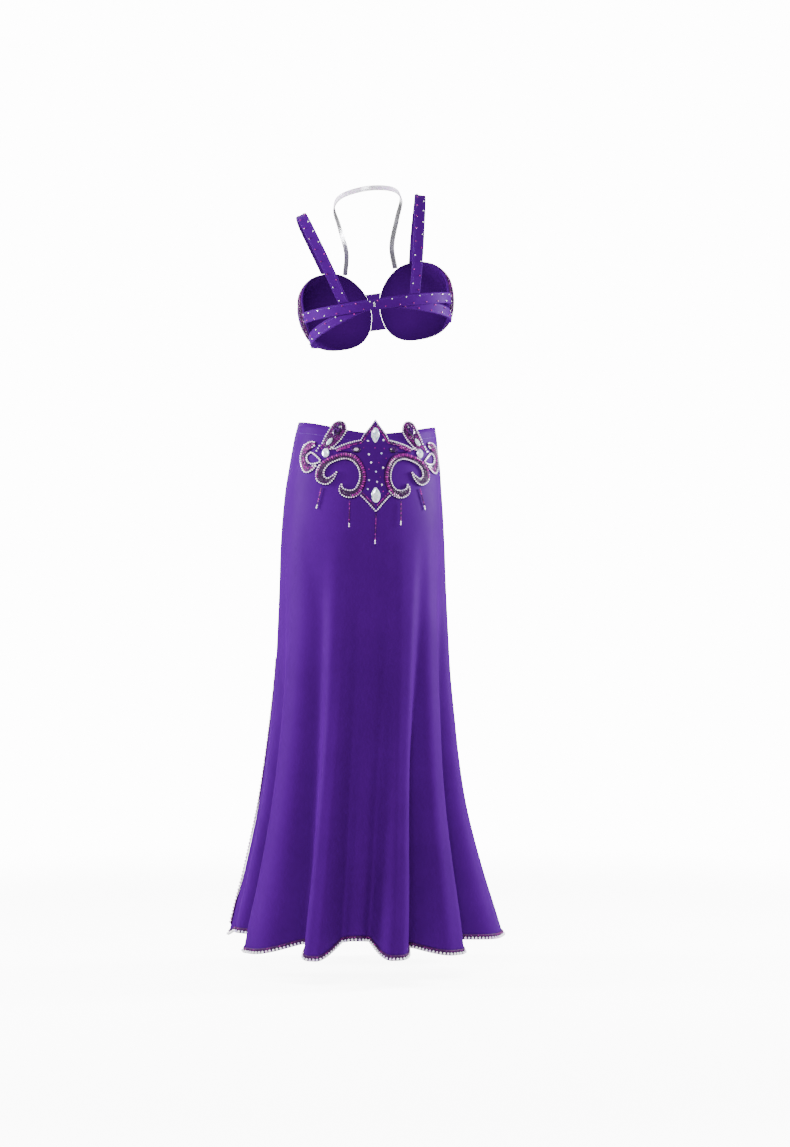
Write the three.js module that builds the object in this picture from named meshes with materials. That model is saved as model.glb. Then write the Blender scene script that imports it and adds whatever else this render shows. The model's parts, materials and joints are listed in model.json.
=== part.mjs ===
// Belly dance dress in violet stretch satin: a padded bra top with back bands, shoulder straps
// and a crystal halter band, and a flared hip skirt with a beaded applique at the back.
//
// Millimetres, +Z up. The dress faces -Y, its back is +Y, and the wearer's left is +X.
// The origin is where the hips hold the skirt, at the middle of its waist opening.
// Every cloth piece is a thin wall. Angles run from the back centre towards the wearer's left.

import * as THREE from 'three';

const DEG = Math.PI / 180;

// Driving dimensions

const CLOTH = 1.5;             // skirt cloth with its facing
const BAND = 1.8;              // folded cloth of straps and back bands
const CUP_WALL = 3;            // padded cup
const SEAM_GAP = 0.3;          // between two pieces that are sewn together
const HEM = -937;              // lowest point of the skirt's folds
const FOLD_START = -170;       // height where the hip's smooth fit ends
const FULLNESS = 2.0;          // above 1, crests are broad and valleys narrow
const EDGE_BLEND = 120;        // the dip of the waist edge fades out over this height

const TRIM_HEIGHT = 13;        // stone band along hem and slit
const TRIM_DROP = 3.5;         // how far the hem band hangs below the cloth
const TRIM_THICK = 1.2;
const TRIM_LIFT = 0.45;        // stone band above the cloth it is sewn on
const SLIT_TOP = -420;
const SLIT_TRIM_COLUMNS = 2;

const STRAP_WIDTH = 20;
const BAND_HEIGHT = 20;
const LEFT_DROP = 45;          // how far the lower back band ends below the upper one
const RIGHT_DROP = 33;

const APPLIQUE_LIFT = 0.5;     // applique backing above the skirt cloth
const PLATE_THICK = 2;
const SCROLL_HEIGHT = 5;
const PETAL_HEIGHT = 3.2;
const WING_HEIGHT = 3.2;
const LOOP_HEIGHT = 2.4;
const MAP_RADIUS = 118;        // hip radius on which the applique's pattern is laid out
const PATTERN_LEAN = { top: -2.6, fall: 0.031 }; // mm towards the left, and per mm upwards

const BEAD = 3.6;              // bead of the dangles

// Rows of the skirt, as it lies on general hips and then falls free

const SKIRT_ROWS = [
  { name: 'waist edge', down: 0, half_width: 127, half_depth: 97, centre_x: 2, centre_y: 0 },
  { name: 'high hip', down: -20, half_width: 131.5, half_depth: 101, centre_x: 3.5, centre_y: 0 },
  { name: 'hip bone', down: -45, half_width: 135.5, half_depth: 106, centre_x: 5, centre_y: 0 },
  { name: 'upper hip', down: -75, half_width: 140.5, half_depth: 111, centre_x: 6, centre_y: 1 },
  { name: 'hip', down: -110, half_width: 145, half_depth: 116, centre_x: 8, centre_y: 2 },
  { name: 'full hip', down: -150, half_width: 148.5, half_depth: 119, centre_x: 9, centre_y: 3 },
  { name: 'seat', down: -210, half_width: 152, half_depth: 119, centre_x: 10, centre_y: 3 },
  { name: 'upper thigh', down: -290, half_width: 155, half_depth: 119, centre_x: 10, centre_y: 2 },
  { name: 'thigh', down: -370, half_width: 159, half_depth: 122, centre_x: 10, centre_y: 2 },
  { name: 'low thigh', down: -450, half_width: 163.5, half_depth: 127, centre_x: 10, centre_y: 2 },
  { name: 'above knee', down: -530, half_width: 171, half_depth: 134, centre_x: 10, centre_y: 3 },
  { name: 'knee', down: -610, half_width: 180, half_depth: 143, centre_x: 10.5, centre_y: 4 },
  { name: 'below knee', down: -690, half_width: 192, half_depth: 155, centre_x: 10, centre_y: 4 },
  { name: 'calf', down: -765, half_width: 208.5, half_depth: 168, centre_x: 8.5, centre_y: 4 },
  { name: 'low calf', down: -830, half_width: 225, half_depth: 181, centre_x: 6.5, centre_y: 4 },
  { name: 'above hem', down: -885, half_width: 241, half_depth: 193, centre_x: 5, centre_y: 4 },
  { name: 'hem', down: HEM, half_width: 255, half_depth: 203, centre_x: 3, centre_y: 4 },
];

// Crests and valleys of the cloth in turn. depth is how far the cloth lies in from the outline
// at the hem, lean how far a crest rolls over sideways there, lift how far the hem ends above
// its lowest point, and turn the height from which the fold wanders from hip_at to hem_at.

const BACK_FOLDS = [
  { name: 'slit edge', hip_at: 104, hem_at: 91, depth: 0, lean: 0, lift: 10, turn: SLIT_TOP },
  { name: 'left side crest', hip_at: 95, hem_at: 86, depth: 9, lean: 0, lift: 18, turn: -240 },
  { name: 'left side valley', hip_at: 80, hem_at: 77, depth: 52, lean: 0, lift: 14, turn: -240 },
  { name: 'left crest', hip_at: 64, hem_at: 66, depth: 0, lean: 19, lift: -11, turn: -240 },
  { name: 'left valley', hip_at: 43, hem_at: 47, depth: 54, lean: 0, lift: 8, turn: -240 },
  { name: 'centre left crest', hip_at: 26, hem_at: 30, depth: 0, lean: 13, lift: -14, turn: -240 },
  { name: 'centre left valley', hip_at: 9, hem_at: 23, depth: 50, lean: 0, lift: 14, turn: -240 },
  { name: 'centre ripple', hip_at: -4, hem_at: 14, depth: 43, lean: 0, lift: 17, turn: -240 },
  { name: 'centre valley', hip_at: -18, hem_at: 6, depth: 52, lean: 0, lift: 15, turn: -240 },
  { name: 'centre right crest', hip_at: -34, hem_at: -4, depth: 0, lean: -11, lift: -12, turn: -240 },
  { name: 'centre right valley', hip_at: -47, hem_at: -23, depth: 54, lean: 0, lift: 1, turn: -240 },
  { name: 'right crest', hip_at: -60, hem_at: -37, depth: 0, lean: -16, lift: -10, turn: -240 },
  { name: 'right valley', hip_at: -71, hem_at: -54, depth: 56, lean: 0, lift: 8, turn: -240 },
  { name: 'right side crest', hip_at: -80, hem_at: -75, depth: 0, lean: 0, lift: 6, turn: -240 },
  { name: 'right seam', hip_at: -90, hem_at: -90, depth: 10, lean: 0, lift: 6, turn: -240 },
];

const FRONT_FOLDS = [
  { name: 'right seam', hip_at: -90, hem_at: -90, depth: 10, lean: 0, lift: 6, turn: -240 },
  { name: 'right front valley', hip_at: -102, hem_at: -104, depth: 46, lean: 0, lift: 13, turn: -260 },
  { name: 'right front crest', hip_at: -118, hem_at: -119, depth: 0, lean: 14, lift: -4, turn: -260 },
  { name: 'front valley right', hip_at: -134, hem_at: -136, depth: 50, lean: 0, lift: 10, turn: -260 },
  { name: 'front crest right', hip_at: -152, hem_at: -151, depth: 0, lean: 12, lift: -8, turn: -260 },
  { name: 'front valley', hip_at: -170, hem_at: -167, depth: 46, lean: 0, lift: 8, turn: -260 },
  { name: 'front crest', hip_at: -186, hem_at: -182, depth: 0, lean: -8, lift: -8, turn: -260 },
  { name: 'front valley left', hip_at: -204, hem_at: -197, depth: 50, lean: 0, lift: 9, turn: -260 },
  { name: 'front crest left', hip_at: -222, hem_at: -212, depth: 0, lean: -12, lift: -6, turn: -260 },
  { name: 'left front valley', hip_at: -240, hem_at: -228, depth: 44, lean: 0, lift: 10, turn: -260 },
  { name: 'slit front edge', hip_at: -256, hem_at: -241, depth: 6, lean: 0, lift: 12, turn: SLIT_TOP },
];

const BACK_STEPS = 4;          // columns of the wall from one crest or valley to the next
const FRONT_STEPS = 3;

// Rows of the upper body's general figure, in the bra's own frame: up from the upper back band

const BODY_ROWS = [
  { name: 'below cups', up: -80, half_width: 128, half_depth: 90 },
  { name: 'lower band', up: -45, half_width: 131, half_depth: 93 },
  { name: 'upper band', up: 0, half_width: 134, half_depth: 96 },
  { name: 'armhole', up: 50, half_width: 139, half_depth: 100 },
  { name: 'chest', up: 100, half_width: 142, half_depth: 101 },
];

// The upper body leans and turns a little against the hips

const BRA_PLACE = { x: -17.6, y: 0, z: 224.8, lean: 8, turn: -6 };

// A strap from the back band over the shoulder to the cup, for the left side. yaw turns its
// face towards the side, and slope follows the shoulder.

const CUP_TOP = 85.9; // height where a strap ends on its cup
const STRAP_STATIONS = [
  { name: 'back band', across: 0, back: 87, up: 10.3, yaw: 20, slope: 0 },
  { name: 'low blade', across: 0.17, back: 91, up: 40, yaw: 18, slope: 0 },
  { name: 'blade', across: 0.4, back: 91, up: 82, yaw: 15, slope: 2 },
  { name: 'upper back', across: 0.7, back: 73, up: 136, yaw: 10, slope: 8 },
  { name: 'back of shoulder', across: 0.93, back: 40, up: 178, yaw: 5, slope: 15 },
  { name: 'shoulder', across: 1, back: 4, up: 191, yaw: 0, slope: 18 },
  { name: 'front of shoulder', across: 0.95, back: -32, up: 178, yaw: -8, slope: 15 },
  { name: 'upper chest', across: 0.68, back: -66, up: 134, yaw: -20, slope: 6 },
  { name: 'cup top', across: 0.4, back: -88, up: CUP_TOP, yaw: -32, slope: 0 },
];
const STRAP_SIDES = [
  { name: 'left', side: 1, at_band: 63, at_shoulder: 117, rise: -1 },
  { name: 'right', side: -1, at_band: 68, at_shoulder: 107, rise: 6 },
];

const CUP = { azimuth: 44, reach: 39, up: 12, rise: 73, fall: 73, bulge: 46, squareness: 2.5, taper: 0.3 };
const CUP_RINGS = [0.26, 0.48, 0.66, 0.8, 0.915, 1];
const CUP_SECTORS = 28;
const EDGING_HEIGHT = 3;

// Crystal halter band, from the cup up the chest and round the neck to the nape, for one side

const HALTER = { centre: -9, height: 10.5, thick: 2.6, arm_share: 0.31, gap_share: 0.0006 };
const HALTER_KNOTS = [
  { name: 'cup', across: 47.6, back: -95.5, up: 79.4 },
  { name: 'breast', across: 43, back: -86, up: 118 },
  { name: 'collar bone', across: 54, back: -50, up: 166 },
  { name: 'side of neck', across: 61.5, back: -4, up: 196 },
  { name: 'side of nape', across: 46, back: 38, up: 210 },
];
const NAPE = { back: 56, up: 215 };
const BRIDGE = { low: -32, high: 38 };

// The applique's pattern, laid out flat for the left half: across from the back centre on the
// hip radius, up from the origin, and the width of the beaded rib there

const SCROLL = [
  { name: 'hook tip', across: 70.5, up: -80.5, width: 2 },
  { name: 'hook inside', across: 78, up: -92, width: 8.5 },
  { name: 'hook bottom', across: 87.5, up: -98.5, width: 13 },
  { name: 'hook back', across: 98.5, up: -93, width: 16 },
  { name: 'hook outside', across: 101, up: -83, width: 16 },
  { name: 'hook top', across: 97.5, up: -71, width: 15 },
  { name: 'shoulder', across: 88, up: -62, width: 13 },
  { name: 'crown outside', across: 75.5, up: -56.3, width: 12.5 },
  { name: 'crown', across: 58, up: -52.6, width: 12.2 },
  { name: 'crown inside', across: 40.5, up: -57.5, width: 12.5 },
  { name: 'inside', across: 28.5, up: -72, width: 12 },
  { name: 'waist', across: 23.5, up: -90.5, width: 12.5 },
  { name: 'belly', across: 28, up: -109.5, width: 13 },
  { name: 'heel', across: 37.5, up: -120, width: 14.5 },
  { name: 'foot', across: 49, up: -121.5, width: 15 },
  { name: 'foot curl', across: 58.5, up: -117, width: 12.5 },
  { name: 'tip neck', across: 61.8, up: -109.5, width: 7 },
  { name: 'tip', across: 60.3, up: -102.7, width: 1.5 },
];
const PETAL = [
  { name: 'base', across: 96.5, up: -36, width: 21 },
  { name: 'lower leaf', across: 88.5, up: -24, width: 29 },
  { name: 'middle', across: 80.8, up: -11.5, width: 33 },
  { name: 'upper leaf', across: 75.5, up: -1, width: 33 },
  { name: 'round end', across: 72.2, up: 5, width: 25 },
  { name: 'crown', across: 70.3, up: 8.4, width: 15 },
  { name: 'end', across: 69.4, up: 10.2, width: 4 },
];
const WING = [
  { name: 'top end', across: 117.5, up: -29.5, width: 7 },
  { name: 'top', across: 125, up: -31, width: 14 },
  { name: 'upper back', across: 135, up: -37.5, width: 16 },
  { name: 'back', across: 140, up: -50, width: 12 },
  { name: 'lower back', across: 137, up: -63, width: 12 },
  { name: 'point', across: 127.5, up: -75.5, width: 14.5 },
  { name: 'underside', across: 117.5, up: -73.5, width: 9 },
  { name: 'root', across: 109.8, up: -69, width: 3 },
];
const WING_LOOP = [
  { name: 'root', across: 103.5, up: -61.5, width: 2.8 },
  { name: 'top side', across: 113, up: -51.4, width: 2.8 },
  { name: 'top', across: 123.5, up: -45.2, width: 2.8 },
  { name: 'outside', across: 131.2, up: -51.5, width: 2.8 },
  { name: 'lower outside', across: 129.5, up: -59.5, width: 2.8 },
  { name: 'bottom', across: 123.5, up: -65, width: 2.8 },
  { name: 'bottom side', across: 113.5, up: -65.8, width: 2.8 },
];
const PLATE_UPPER = [
  { name: 'top point', up: 14, half: 1 },
  { name: 'point side', up: 4, half: 9.5 },
  { name: 'shoulder', up: -13, half: 25 },
  { name: 'notch', up: -24, half: 31.5 },
  { name: 'arm start', up: -27, half: 47 },
  { name: 'arm', up: -30.5, half: 60 },
  { name: 'arm', up: -34, half: 70 },
  { name: 'arm corner', up: -38.5, half: 79 },
  { name: 'arm end', up: -41, half: 80 },
  { name: 'under the arm', up: -43, half: 73 },
  { name: 'under the arm', up: -44.2, half: 64 },
  { name: 'arm root', up: -45, half: 55 },
];
const PLATE_FIELD = { from: -46.2, to: -121, rows: 17, half: 46 };
const PLATE_LOWER = [
  { name: 'lower shoulder', up: -125.5, half: 27 },
  { name: 'lower side', up: -137, half: 16 },
  { name: 'bottom point', up: -154, half: 1 },
];
const PLATE_COLUMNS = 12;

// Stones: long is along the stone's own axis, which tilt turns from upright towards the side

const ON_PLATE = APPLIQUE_LIFT + PLATE_THICK + SEAM_GAP;
const ON_PETAL = APPLIQUE_LIFT + PETAL_HEIGHT + SEAM_GAP;
const CENTRE_STONES = [
  { name: 'pear_top', across: 0, up: -14.8, long: 28, wide: 18, tilt: 180, point: 0.5, base: ON_PLATE },
  { name: 'pear_bottom', across: 0, up: -123.5, long: 28, wide: 17, tilt: 0, point: 0.5, base: ON_PLATE },
];
const SIDE_STONES = [
  { name: 'oval_dark', across: 37.5, up: -41, long: 18, wide: 10.5, tilt: 90, point: 0, base: ON_PLATE },
  { name: 'oval_clear', across: 95, up: -46.6, long: 17, wide: 13.5, tilt: 15, point: 0,
    base: APPLIQUE_LIFT },
  { name: 'pear_dark', across: 78.3, up: -5, long: 22, wide: 15, tilt: -28, point: 0.35,
    base: ON_PETAL },
  { name: 'navette', across: 89.5, up: -26, long: 15, wide: 8, tilt: -32, point: 0.2,
    base: ON_PETAL },
];
const STONE_HEIGHT = 4.2;
const STONE_SIDES = 14;

const DANGLES = [
  { name: 'dangle_1', across: 95.6, up: -109.5, end_across: 103.4, end_up: -148 },
  { name: 'dangle_2', across: 46, up: -134, end_across: 47.5, end_up: -182 },
  { name: 'dangle_3', across: 0, up: -157.5, end_across: 2.5, end_up: -212 },
  { name: 'dangle_4', across: -46.5, up: -134, end_across: -44.5, end_up: -178 },
  { name: 'dangle_5', across: -85.5, up: -110.5, end_across: -94, end_up: -149 },
];

// Finishes

const FINISH = {
  satin: { color: 0x5a2aa0, roughness: 0.5, metalness: 0 },
  satinDark: { color: 0x48208a, roughness: 0.55, metalness: 0 },
  trim: { color: 0x3a1240, roughness: 0.4, metalness: 0.1 },
  beads: { color: 0x6a1a70, roughness: 0.25, metalness: 0.2 },
  clear: { color: 0xe6ecf4, roughness: 0.08, metalness: 0.1 },
  dark: { color: 0x1c0c28, roughness: 0.1, metalness: 0.1 },
  steel: { color: 0x9a9aa2, roughness: 0.3, metalness: 0.9 },
};

// Small helpers

const lerp = (a, b, t) => a + (b - a) * t;
const clamp = (value, low, high) => Math.min(high, Math.max(low, value));
const smooth = (t) => 0.5 - 0.5 * Math.cos(Math.PI * t);
const range = (count) => Array.from({ length: count }, (_, index) => index);

// Value of a table's column at a key that falls or rises steadily down the table
function column(table, key, at, name) {
  const falling = table[1][key] < table[0][key];
  let row = 0;
  while (row < table.length - 2 && (falling ? at < table[row + 1][key] : at > table[row + 1][key])) {
    row += 1;
  }
  const first = table[row];
  const next = table[row + 1];
  return lerp(first[name], next[name], (at - first[key]) / (next[key] - first[key]));
}

function ellipseRadius(angle, halfWidth, halfDepth) {
  return 1 / Math.hypot(Math.sin(angle) / halfWidth, Math.cos(angle) / halfDepth);
}

// Makes one closed body from triangles, turned so that its faces point out
function closedBody(points, triangles) {
  let volume = 0;
  for (const [a, b, c] of triangles) {
    volume += points[a].dot(new THREE.Vector3().crossVectors(points[b], points[c]));
  }
  const geometry = new THREE.BufferGeometry();
  const flat = points.flatMap((point) => [point.x, point.y, point.z]);
  const index = triangles.flatMap(([a, b, c]) => (volume > 0 ? [a, b, c] : [a, c, b]));
  geometry.setAttribute('position', new THREE.Float32BufferAttribute(flat, 3));
  geometry.setIndex(index);
  geometry.computeVertexNormals();
  return geometry;
}

// A wall between an outer and an inner grid of points, closed along all its edges.
// A ring's last column joins its first one.
function wall(outer, inner, ring = false) {
  const columns = outer.length;
  const rows = outer[0].length;
  const points = [...outer.flat(), ...inner.flat()];
  const out = (i, j) => (i % columns) * rows + j;
  const into = (i, j) => columns * rows + (i % columns) * rows + j;
  const triangles = [];
  const quad = (a, b, c, d) => triangles.push([a, b, c], [a, c, d]);
  const spans = ring ? columns : columns - 1;
  for (let i = 0; i < spans; i += 1) {
    for (let j = 0; j < rows - 1; j += 1) {
      quad(out(i, j), out(i + 1, j), out(i + 1, j + 1), out(i, j + 1));
      quad(into(i, j), into(i, j + 1), into(i + 1, j + 1), into(i + 1, j));
    }
    quad(out(i, 0), into(i, 0), into(i + 1, 0), out(i + 1, 0));
    quad(out(i, rows - 1), out(i + 1, rows - 1), into(i + 1, rows - 1), into(i, rows - 1));
  }
  if (!ring) {
    for (let j = 0; j < rows - 1; j += 1) {
      quad(out(0, j), out(0, j + 1), into(0, j + 1), into(0, j));
      quad(out(columns - 1, j), into(columns - 1, j), into(columns - 1, j + 1), out(columns - 1, j + 1));
    }
  }
  return closedBody(points, triangles);
}

// A body of rings stacked one on another, with a middle point at both ends
function stack(rings, first, last) {
  const count = rings[0].length;
  const points = [...rings.flat(), first, last];
  const firstIndex = points.length - 2;
  const lastIndex = points.length - 1;
  const triangles = [];
  const at = (ring, i) => ring * count + (i % count);
  for (let i = 0; i < count; i += 1) {
    triangles.push([firstIndex, at(0, i + 1), at(0, i)]);
    triangles.push([lastIndex, at(rings.length - 1, i), at(rings.length - 1, i + 1)]);
    for (let ring = 0; ring < rings.length - 1; ring += 1) {
      triangles.push([at(ring, i), at(ring, i + 1), at(ring + 1, i + 1)]);
      triangles.push([at(ring, i), at(ring + 1, i + 1), at(ring + 1, i)]);
    }
  }
  return closedBody(points, triangles);
}

function piece(name, geometry, finish) {
  const mesh = new THREE.Mesh(geometry, new THREE.MeshStandardMaterial(FINISH[finish]));
  mesh.name = name;
  return mesh;
}

// Skirt

function waistEdge(angle) {
  return 9.6 + 3.8 * Math.sin(angle) - 20.4 * Math.cos(angle) ** 2;
}

function foldGrowth(down) {
  const fall = clamp((FOLD_START - down) / (FOLD_START - HEM), 0, 1);
  return fall ** 1.45;
}

// Fold state at a place along a fold table: whole numbers are the table's rows
function foldAt(folds, along, down) {
  const row = clamp(Math.floor(along), 0, folds.length - 2);
  const part = along - row;
  const [a, b] = [folds[row], folds[row + 1]];
  const angleOf = (fold) => {
    const fall = clamp((fold.turn - down) / (fold.turn - HEM), 0, 1);
    return lerp(fold.hip_at, fold.hem_at, fall ** 1.2);
  };
  const soft = smooth(part);
  const full = b.depth > a.depth ? soft ** FULLNESS : 1 - (1 - soft) ** FULLNESS;
  return {
    angle: lerp(angleOf(a), angleOf(b), part) * DEG,
    depth: lerp(a.depth, b.depth, full) * foldGrowth(down),
    lean: lerp(a.lean, b.lean, soft) * foldGrowth(down),
    lift: lerp(a.lift, b.lift, full),
  };
}

// A point of the skirt's outer face; shift moves it along the face sideways
function skirtPoint(folds, along, down, shift = 0) {
  const { angle, depth, lean, lift } = foldAt(folds, along, down);
  const halfWidth = column(SKIRT_ROWS, 'down', down, 'half_width');
  const halfDepth = column(SKIRT_ROWS, 'down', down, 'half_depth');
  const radius = ellipseRadius(angle, halfWidth, halfDepth) - depth;
  const sideways = lean + shift;
  const x = column(SKIRT_ROWS, 'down', down, 'centre_x') + radius * Math.sin(angle)
    + sideways * Math.cos(angle);
  const y = column(SKIRT_ROWS, 'down', down, 'centre_y') + radius * Math.cos(angle)
    - sideways * Math.sin(angle);
  const edge = waistEdge(angle) * clamp(1 + down / EDGE_BLEND, 0, 1);
  return new THREE.Vector3(x, y, down + edge + lift * clamp(down / HEM, 0, 1) ** 3);
}

// Level direction out of the skirt's face
function skirtOut(folds, along, down) {
  const step = 0.002;
  const low = clamp(along - step, 0, folds.length - 1);
  const high = clamp(along + step, 0, folds.length - 1);
  const run = skirtPoint(folds, high, down).sub(skirtPoint(folds, low, down));
  return new THREE.Vector3(run.y, -run.x, 0).normalize();
}

// Columns of a panel: points on its face at every row, with the level direction out of it
function panelGrid(folds, steps) {
  const count = (folds.length - 1) * steps + 1;
  return range(count).map((index) => {
    const along = index / steps;
    const seam = index === 0 ? -SEAM_GAP / 2 : index === count - 1 ? SEAM_GAP / 2 : 0;
    return SKIRT_ROWS.map(({ down }) => ({
      face: skirtPoint(folds, along, down, seam),
      out: skirtOut(folds, along, down),
    }));
  });
}

const offset = ({ face, out }, distance) => face.clone().addScaledVector(out, distance);

function panelGeometry(grid) {
  const outer = grid.map((line) => line.map((cell) => cell.face.clone()));
  const inner = grid.map((line) => line.map((cell) => offset(cell, -CLOTH)));
  return wall(outer, inner);
}

// A cell between a panel's last two rows, or past the last one
function hemCell(line, above) {
  const [upper, lower] = line.slice(-2);
  const t = 1 - above / (upper.face.z - lower.face.z);
  return {
    face: upper.face.clone().lerp(lower.face, t),
    out: upper.out.clone().lerp(lower.out, clamp(t, 0, 1)).normalize(),
  };
}

function hemTrim(grid) {
  const levels = [TRIM_HEIGHT - TRIM_DROP, 0, -TRIM_DROP];
  const cells = grid.map((line) => levels.map((above) => hemCell(line, above)));
  const outer = cells.map((line) => line.map((cell) => offset(cell, TRIM_LIFT + TRIM_THICK)));
  const inner = cells.map((line) => line.map((cell) => offset(cell, TRIM_LIFT)));
  return wall(outer, inner);
}

function slitTrim(lines) {
  const firstRow = SKIRT_ROWS.findIndex(({ down }) => down < SLIT_TOP);
  const cells = lines.map((line) => [
    ...line.slice(firstRow, -1),
    hemCell(line, TRIM_HEIGHT - TRIM_DROP + SEAM_GAP),
  ]);
  const outer = cells.map((line) => line.map((cell) => offset(cell, TRIM_LIFT + TRIM_THICK)));
  const inner = cells.map((line) => line.map((cell) => offset(cell, TRIM_LIFT)));
  return wall(outer, inner);
}

// Applique on the hip

// A point above the skirt's face, from the flat pattern, which leans towards the right hip
function onHip(across, up, above) {
  const angle = (across + PATTERN_LEAN.top + PATTERN_LEAN.fall * up) / MAP_RADIUS;
  const edge = waistEdge(angle);
  const down = up >= edge ? up - edge
    : up <= -EDGE_BLEND ? up
      : (up - edge) / (1 + edge / EDGE_BLEND);
  const halfWidth = column(SKIRT_ROWS, 'down', down, 'half_width');
  const halfDepth = column(SKIRT_ROWS, 'down', down, 'half_depth');
  const radius = ellipseRadius(angle, halfWidth, halfDepth);
  const x = radius * Math.sin(angle);
  const y = radius * Math.cos(angle);
  const out = new THREE.Vector2(x / halfWidth ** 2, y / halfDepth ** 2).normalize();
  return new THREE.Vector3(
    column(SKIRT_ROWS, 'down', down, 'centre_x') + x + out.x * above,
    column(SKIRT_ROWS, 'down', down, 'centre_y') + y + out.y * above,
    up,
  );
}

// Stations of a flat rib: middle, left edge and right edge on the pattern
function ribStations(table, count, ring = false) {
  const knots = table.map(({ across, up, width }) => new THREE.Vector3(across, up, width));
  const curve = new THREE.CatmullRomCurve3(knots, ring, 'centripetal');
  return range(count).map((index) => {
    const t = index / (ring ? count : count - 1);
    const middle = curve.getPoint(t);
    const run = curve.getTangent(t);
    const side = new THREE.Vector2(-run.y, run.x).normalize();
    return { x: middle.x, y: middle.y, half: middle.z / 2, side };
  });
}

const ribEdge = ({ x, y, half, side }, place) => [
  x + side.x * half * place,
  y + side.y * half * place,
];

// A raised rib with a rounded back, lying on the hip
function ribSolid(stations, height, mirror, ring = false) {
  const places = [-1, 0, 1];
  const crown = [0.62, 1, 0.62];
  const point = (station, place, above) => {
    const [across, up] = ribEdge(station, place);
    return onHip(across * mirror, up, above);
  };
  const outer = stations.map((station) => places.map((place, k) => (
    point(station, place, APPLIQUE_LIFT + height * crown[k])
  )));
  const inner = stations.map((station) => places.map((place) => point(station, place, APPLIQUE_LIFT)));
  return wall(outer, inner, ring);
}

// How far the centre field may reach at a height before it meets a scroll
function scrollLimit(stations, up) {
  let limit = Infinity;
  for (const place of [-1, 1]) {
    for (let i = 0; i < stations.length - 1; i += 1) {
      const [x0, y0] = ribEdge(stations[i], place);
      const [x1, y1] = ribEdge(stations[i + 1], place);
      if ((y0 - up) * (y1 - up) <= 0 && y0 !== y1) {
        limit = Math.min(limit, lerp(x0, x1, (up - y0) / (y1 - y0)));
      }
    }
  }
  return limit - SEAM_GAP * 3;
}

function plateSolid(scroll) {
  const field = range(PLATE_FIELD.rows).map((row) => ({
    up: lerp(PLATE_FIELD.from, PLATE_FIELD.to, row / (PLATE_FIELD.rows - 1)),
    half: PLATE_FIELD.half,
  }));
  const rows = [...PLATE_UPPER, ...field, ...PLATE_LOWER];
  const half = ({ up, half: outline }) => Math.min(outline, scrollLimit(scroll, up));
  const grid = (above) => range(PLATE_COLUMNS + 1).map((index) => {
    const part = (2 * index) / PLATE_COLUMNS - 1;
    return rows.map((row) => onHip(half(row) * part, row.up, above));
  });
  return wall(grid(APPLIQUE_LIFT + PLATE_THICK), grid(APPLIQUE_LIFT));
}

// A faceted stone: round, or drawn out to a point at its top end
function stoneSolid(stone, mirror) {
  const turn = stone.tilt * DEG;
  const outline = (size, above) => range(STONE_SIDES).map((index) => {
    const angle = (2 * Math.PI * index) / STONE_SIDES;
    const rise = Math.cos(angle);
    const taper = 1 - stone.point * clamp(rise, 0, 1) ** 1.5;
    const x = (Math.sin(angle) * stone.wide * size * taper) / 2;
    const y = (rise * stone.long * size) / 2;
    const across = stone.across - x * Math.cos(turn) + y * Math.sin(turn);
    const up = stone.up + x * Math.sin(turn) + y * Math.cos(turn);
    return onHip(across * mirror, up, above);
  });
  const middle = (above) => onHip(stone.across * mirror, stone.up, above);
  const girdle = stone.base + STONE_HEIGHT * 0.4;
  const table = stone.base + STONE_HEIGHT;
  return stack(
    [outline(0.92, stone.base), outline(1, girdle), outline(0.55, table)],
    middle(stone.base),
    middle(table),
  );
}

// A string of beads hanging along the hip
function dangleSolid({ across, up, end_across: endAcross, end_up: endUp }) {
  const length = up - endUp;
  const beads = Math.round(length / (BEAD * 1.15));
  const rings = [];
  for (let i = 0; i < beads * 2; i += 1) {
    const t = (i + 0.5) / (beads * 2);
    const radius = i % 2 === 0 ? BEAD / 2 : BEAD / 4;
    const corners = [[1, 0], [0, 1], [-1, 0], [0, -1]];
    rings.push(corners.map(([side, out]) => onHip(
      lerp(across, endAcross, t) + side * radius,
      lerp(up, endUp, t),
      APPLIQUE_LIFT + BEAD / 2 + out * radius,
    )));
  }
  const end = (t) => onHip(lerp(across, endAcross, t), lerp(up, endUp, t), APPLIQUE_LIFT + BEAD / 2);
  return stack(rings, end(0), end(1));
}

// Bra top, in its own frame: x to the wearer's left, y back, z up from the upper back band

function bodyPoint(angle, up, above) {
  const halfWidth = column(BODY_ROWS, 'up', up, 'half_width');
  const halfDepth = column(BODY_ROWS, 'up', up, 'half_depth');
  const radius = ellipseRadius(angle, halfWidth, halfDepth);
  const x = radius * Math.sin(angle);
  const y = radius * Math.cos(angle);
  const out = new THREE.Vector2(x / halfWidth ** 2, y / halfDepth ** 2).normalize();
  return new THREE.Vector3(x + out.x * above, y + out.y * above, up);
}

const UNDER_LAYER = 0;
const OVER_LAYER = BAND + SEAM_GAP;
const SEAM_TURN = 0.3;         // seam gap on the chest as degrees

// A band from an angle round one side of the back to the cup's edge, on that side.
// Its middle line is given by a function of the angle.
function backBand(from, side, middleLine, layer, columns, rows) {
  const sideEnd = 95;
  const grid = (above) => range(columns + 1).map((index) => range(rows + 1).map((row) => {
    const rise = BAND_HEIGHT * (0.5 - row / rows);
    const end = side * (180 - cupEdge(middleLine(sideEnd) + rise, 1) - SEAM_TURN);
    const degrees = lerp(from, end, index / columns);
    return bodyPoint(degrees * DEG, middleLine(degrees) + rise, above);
  }));
  return wall(grid(layer + BAND), grid(layer));
}

const BAND_SEAM = 5;           // the closure sits a little left of the back centre, in degrees
const LOWER_START = 16;        // the lower bands start under the upper one

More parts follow.
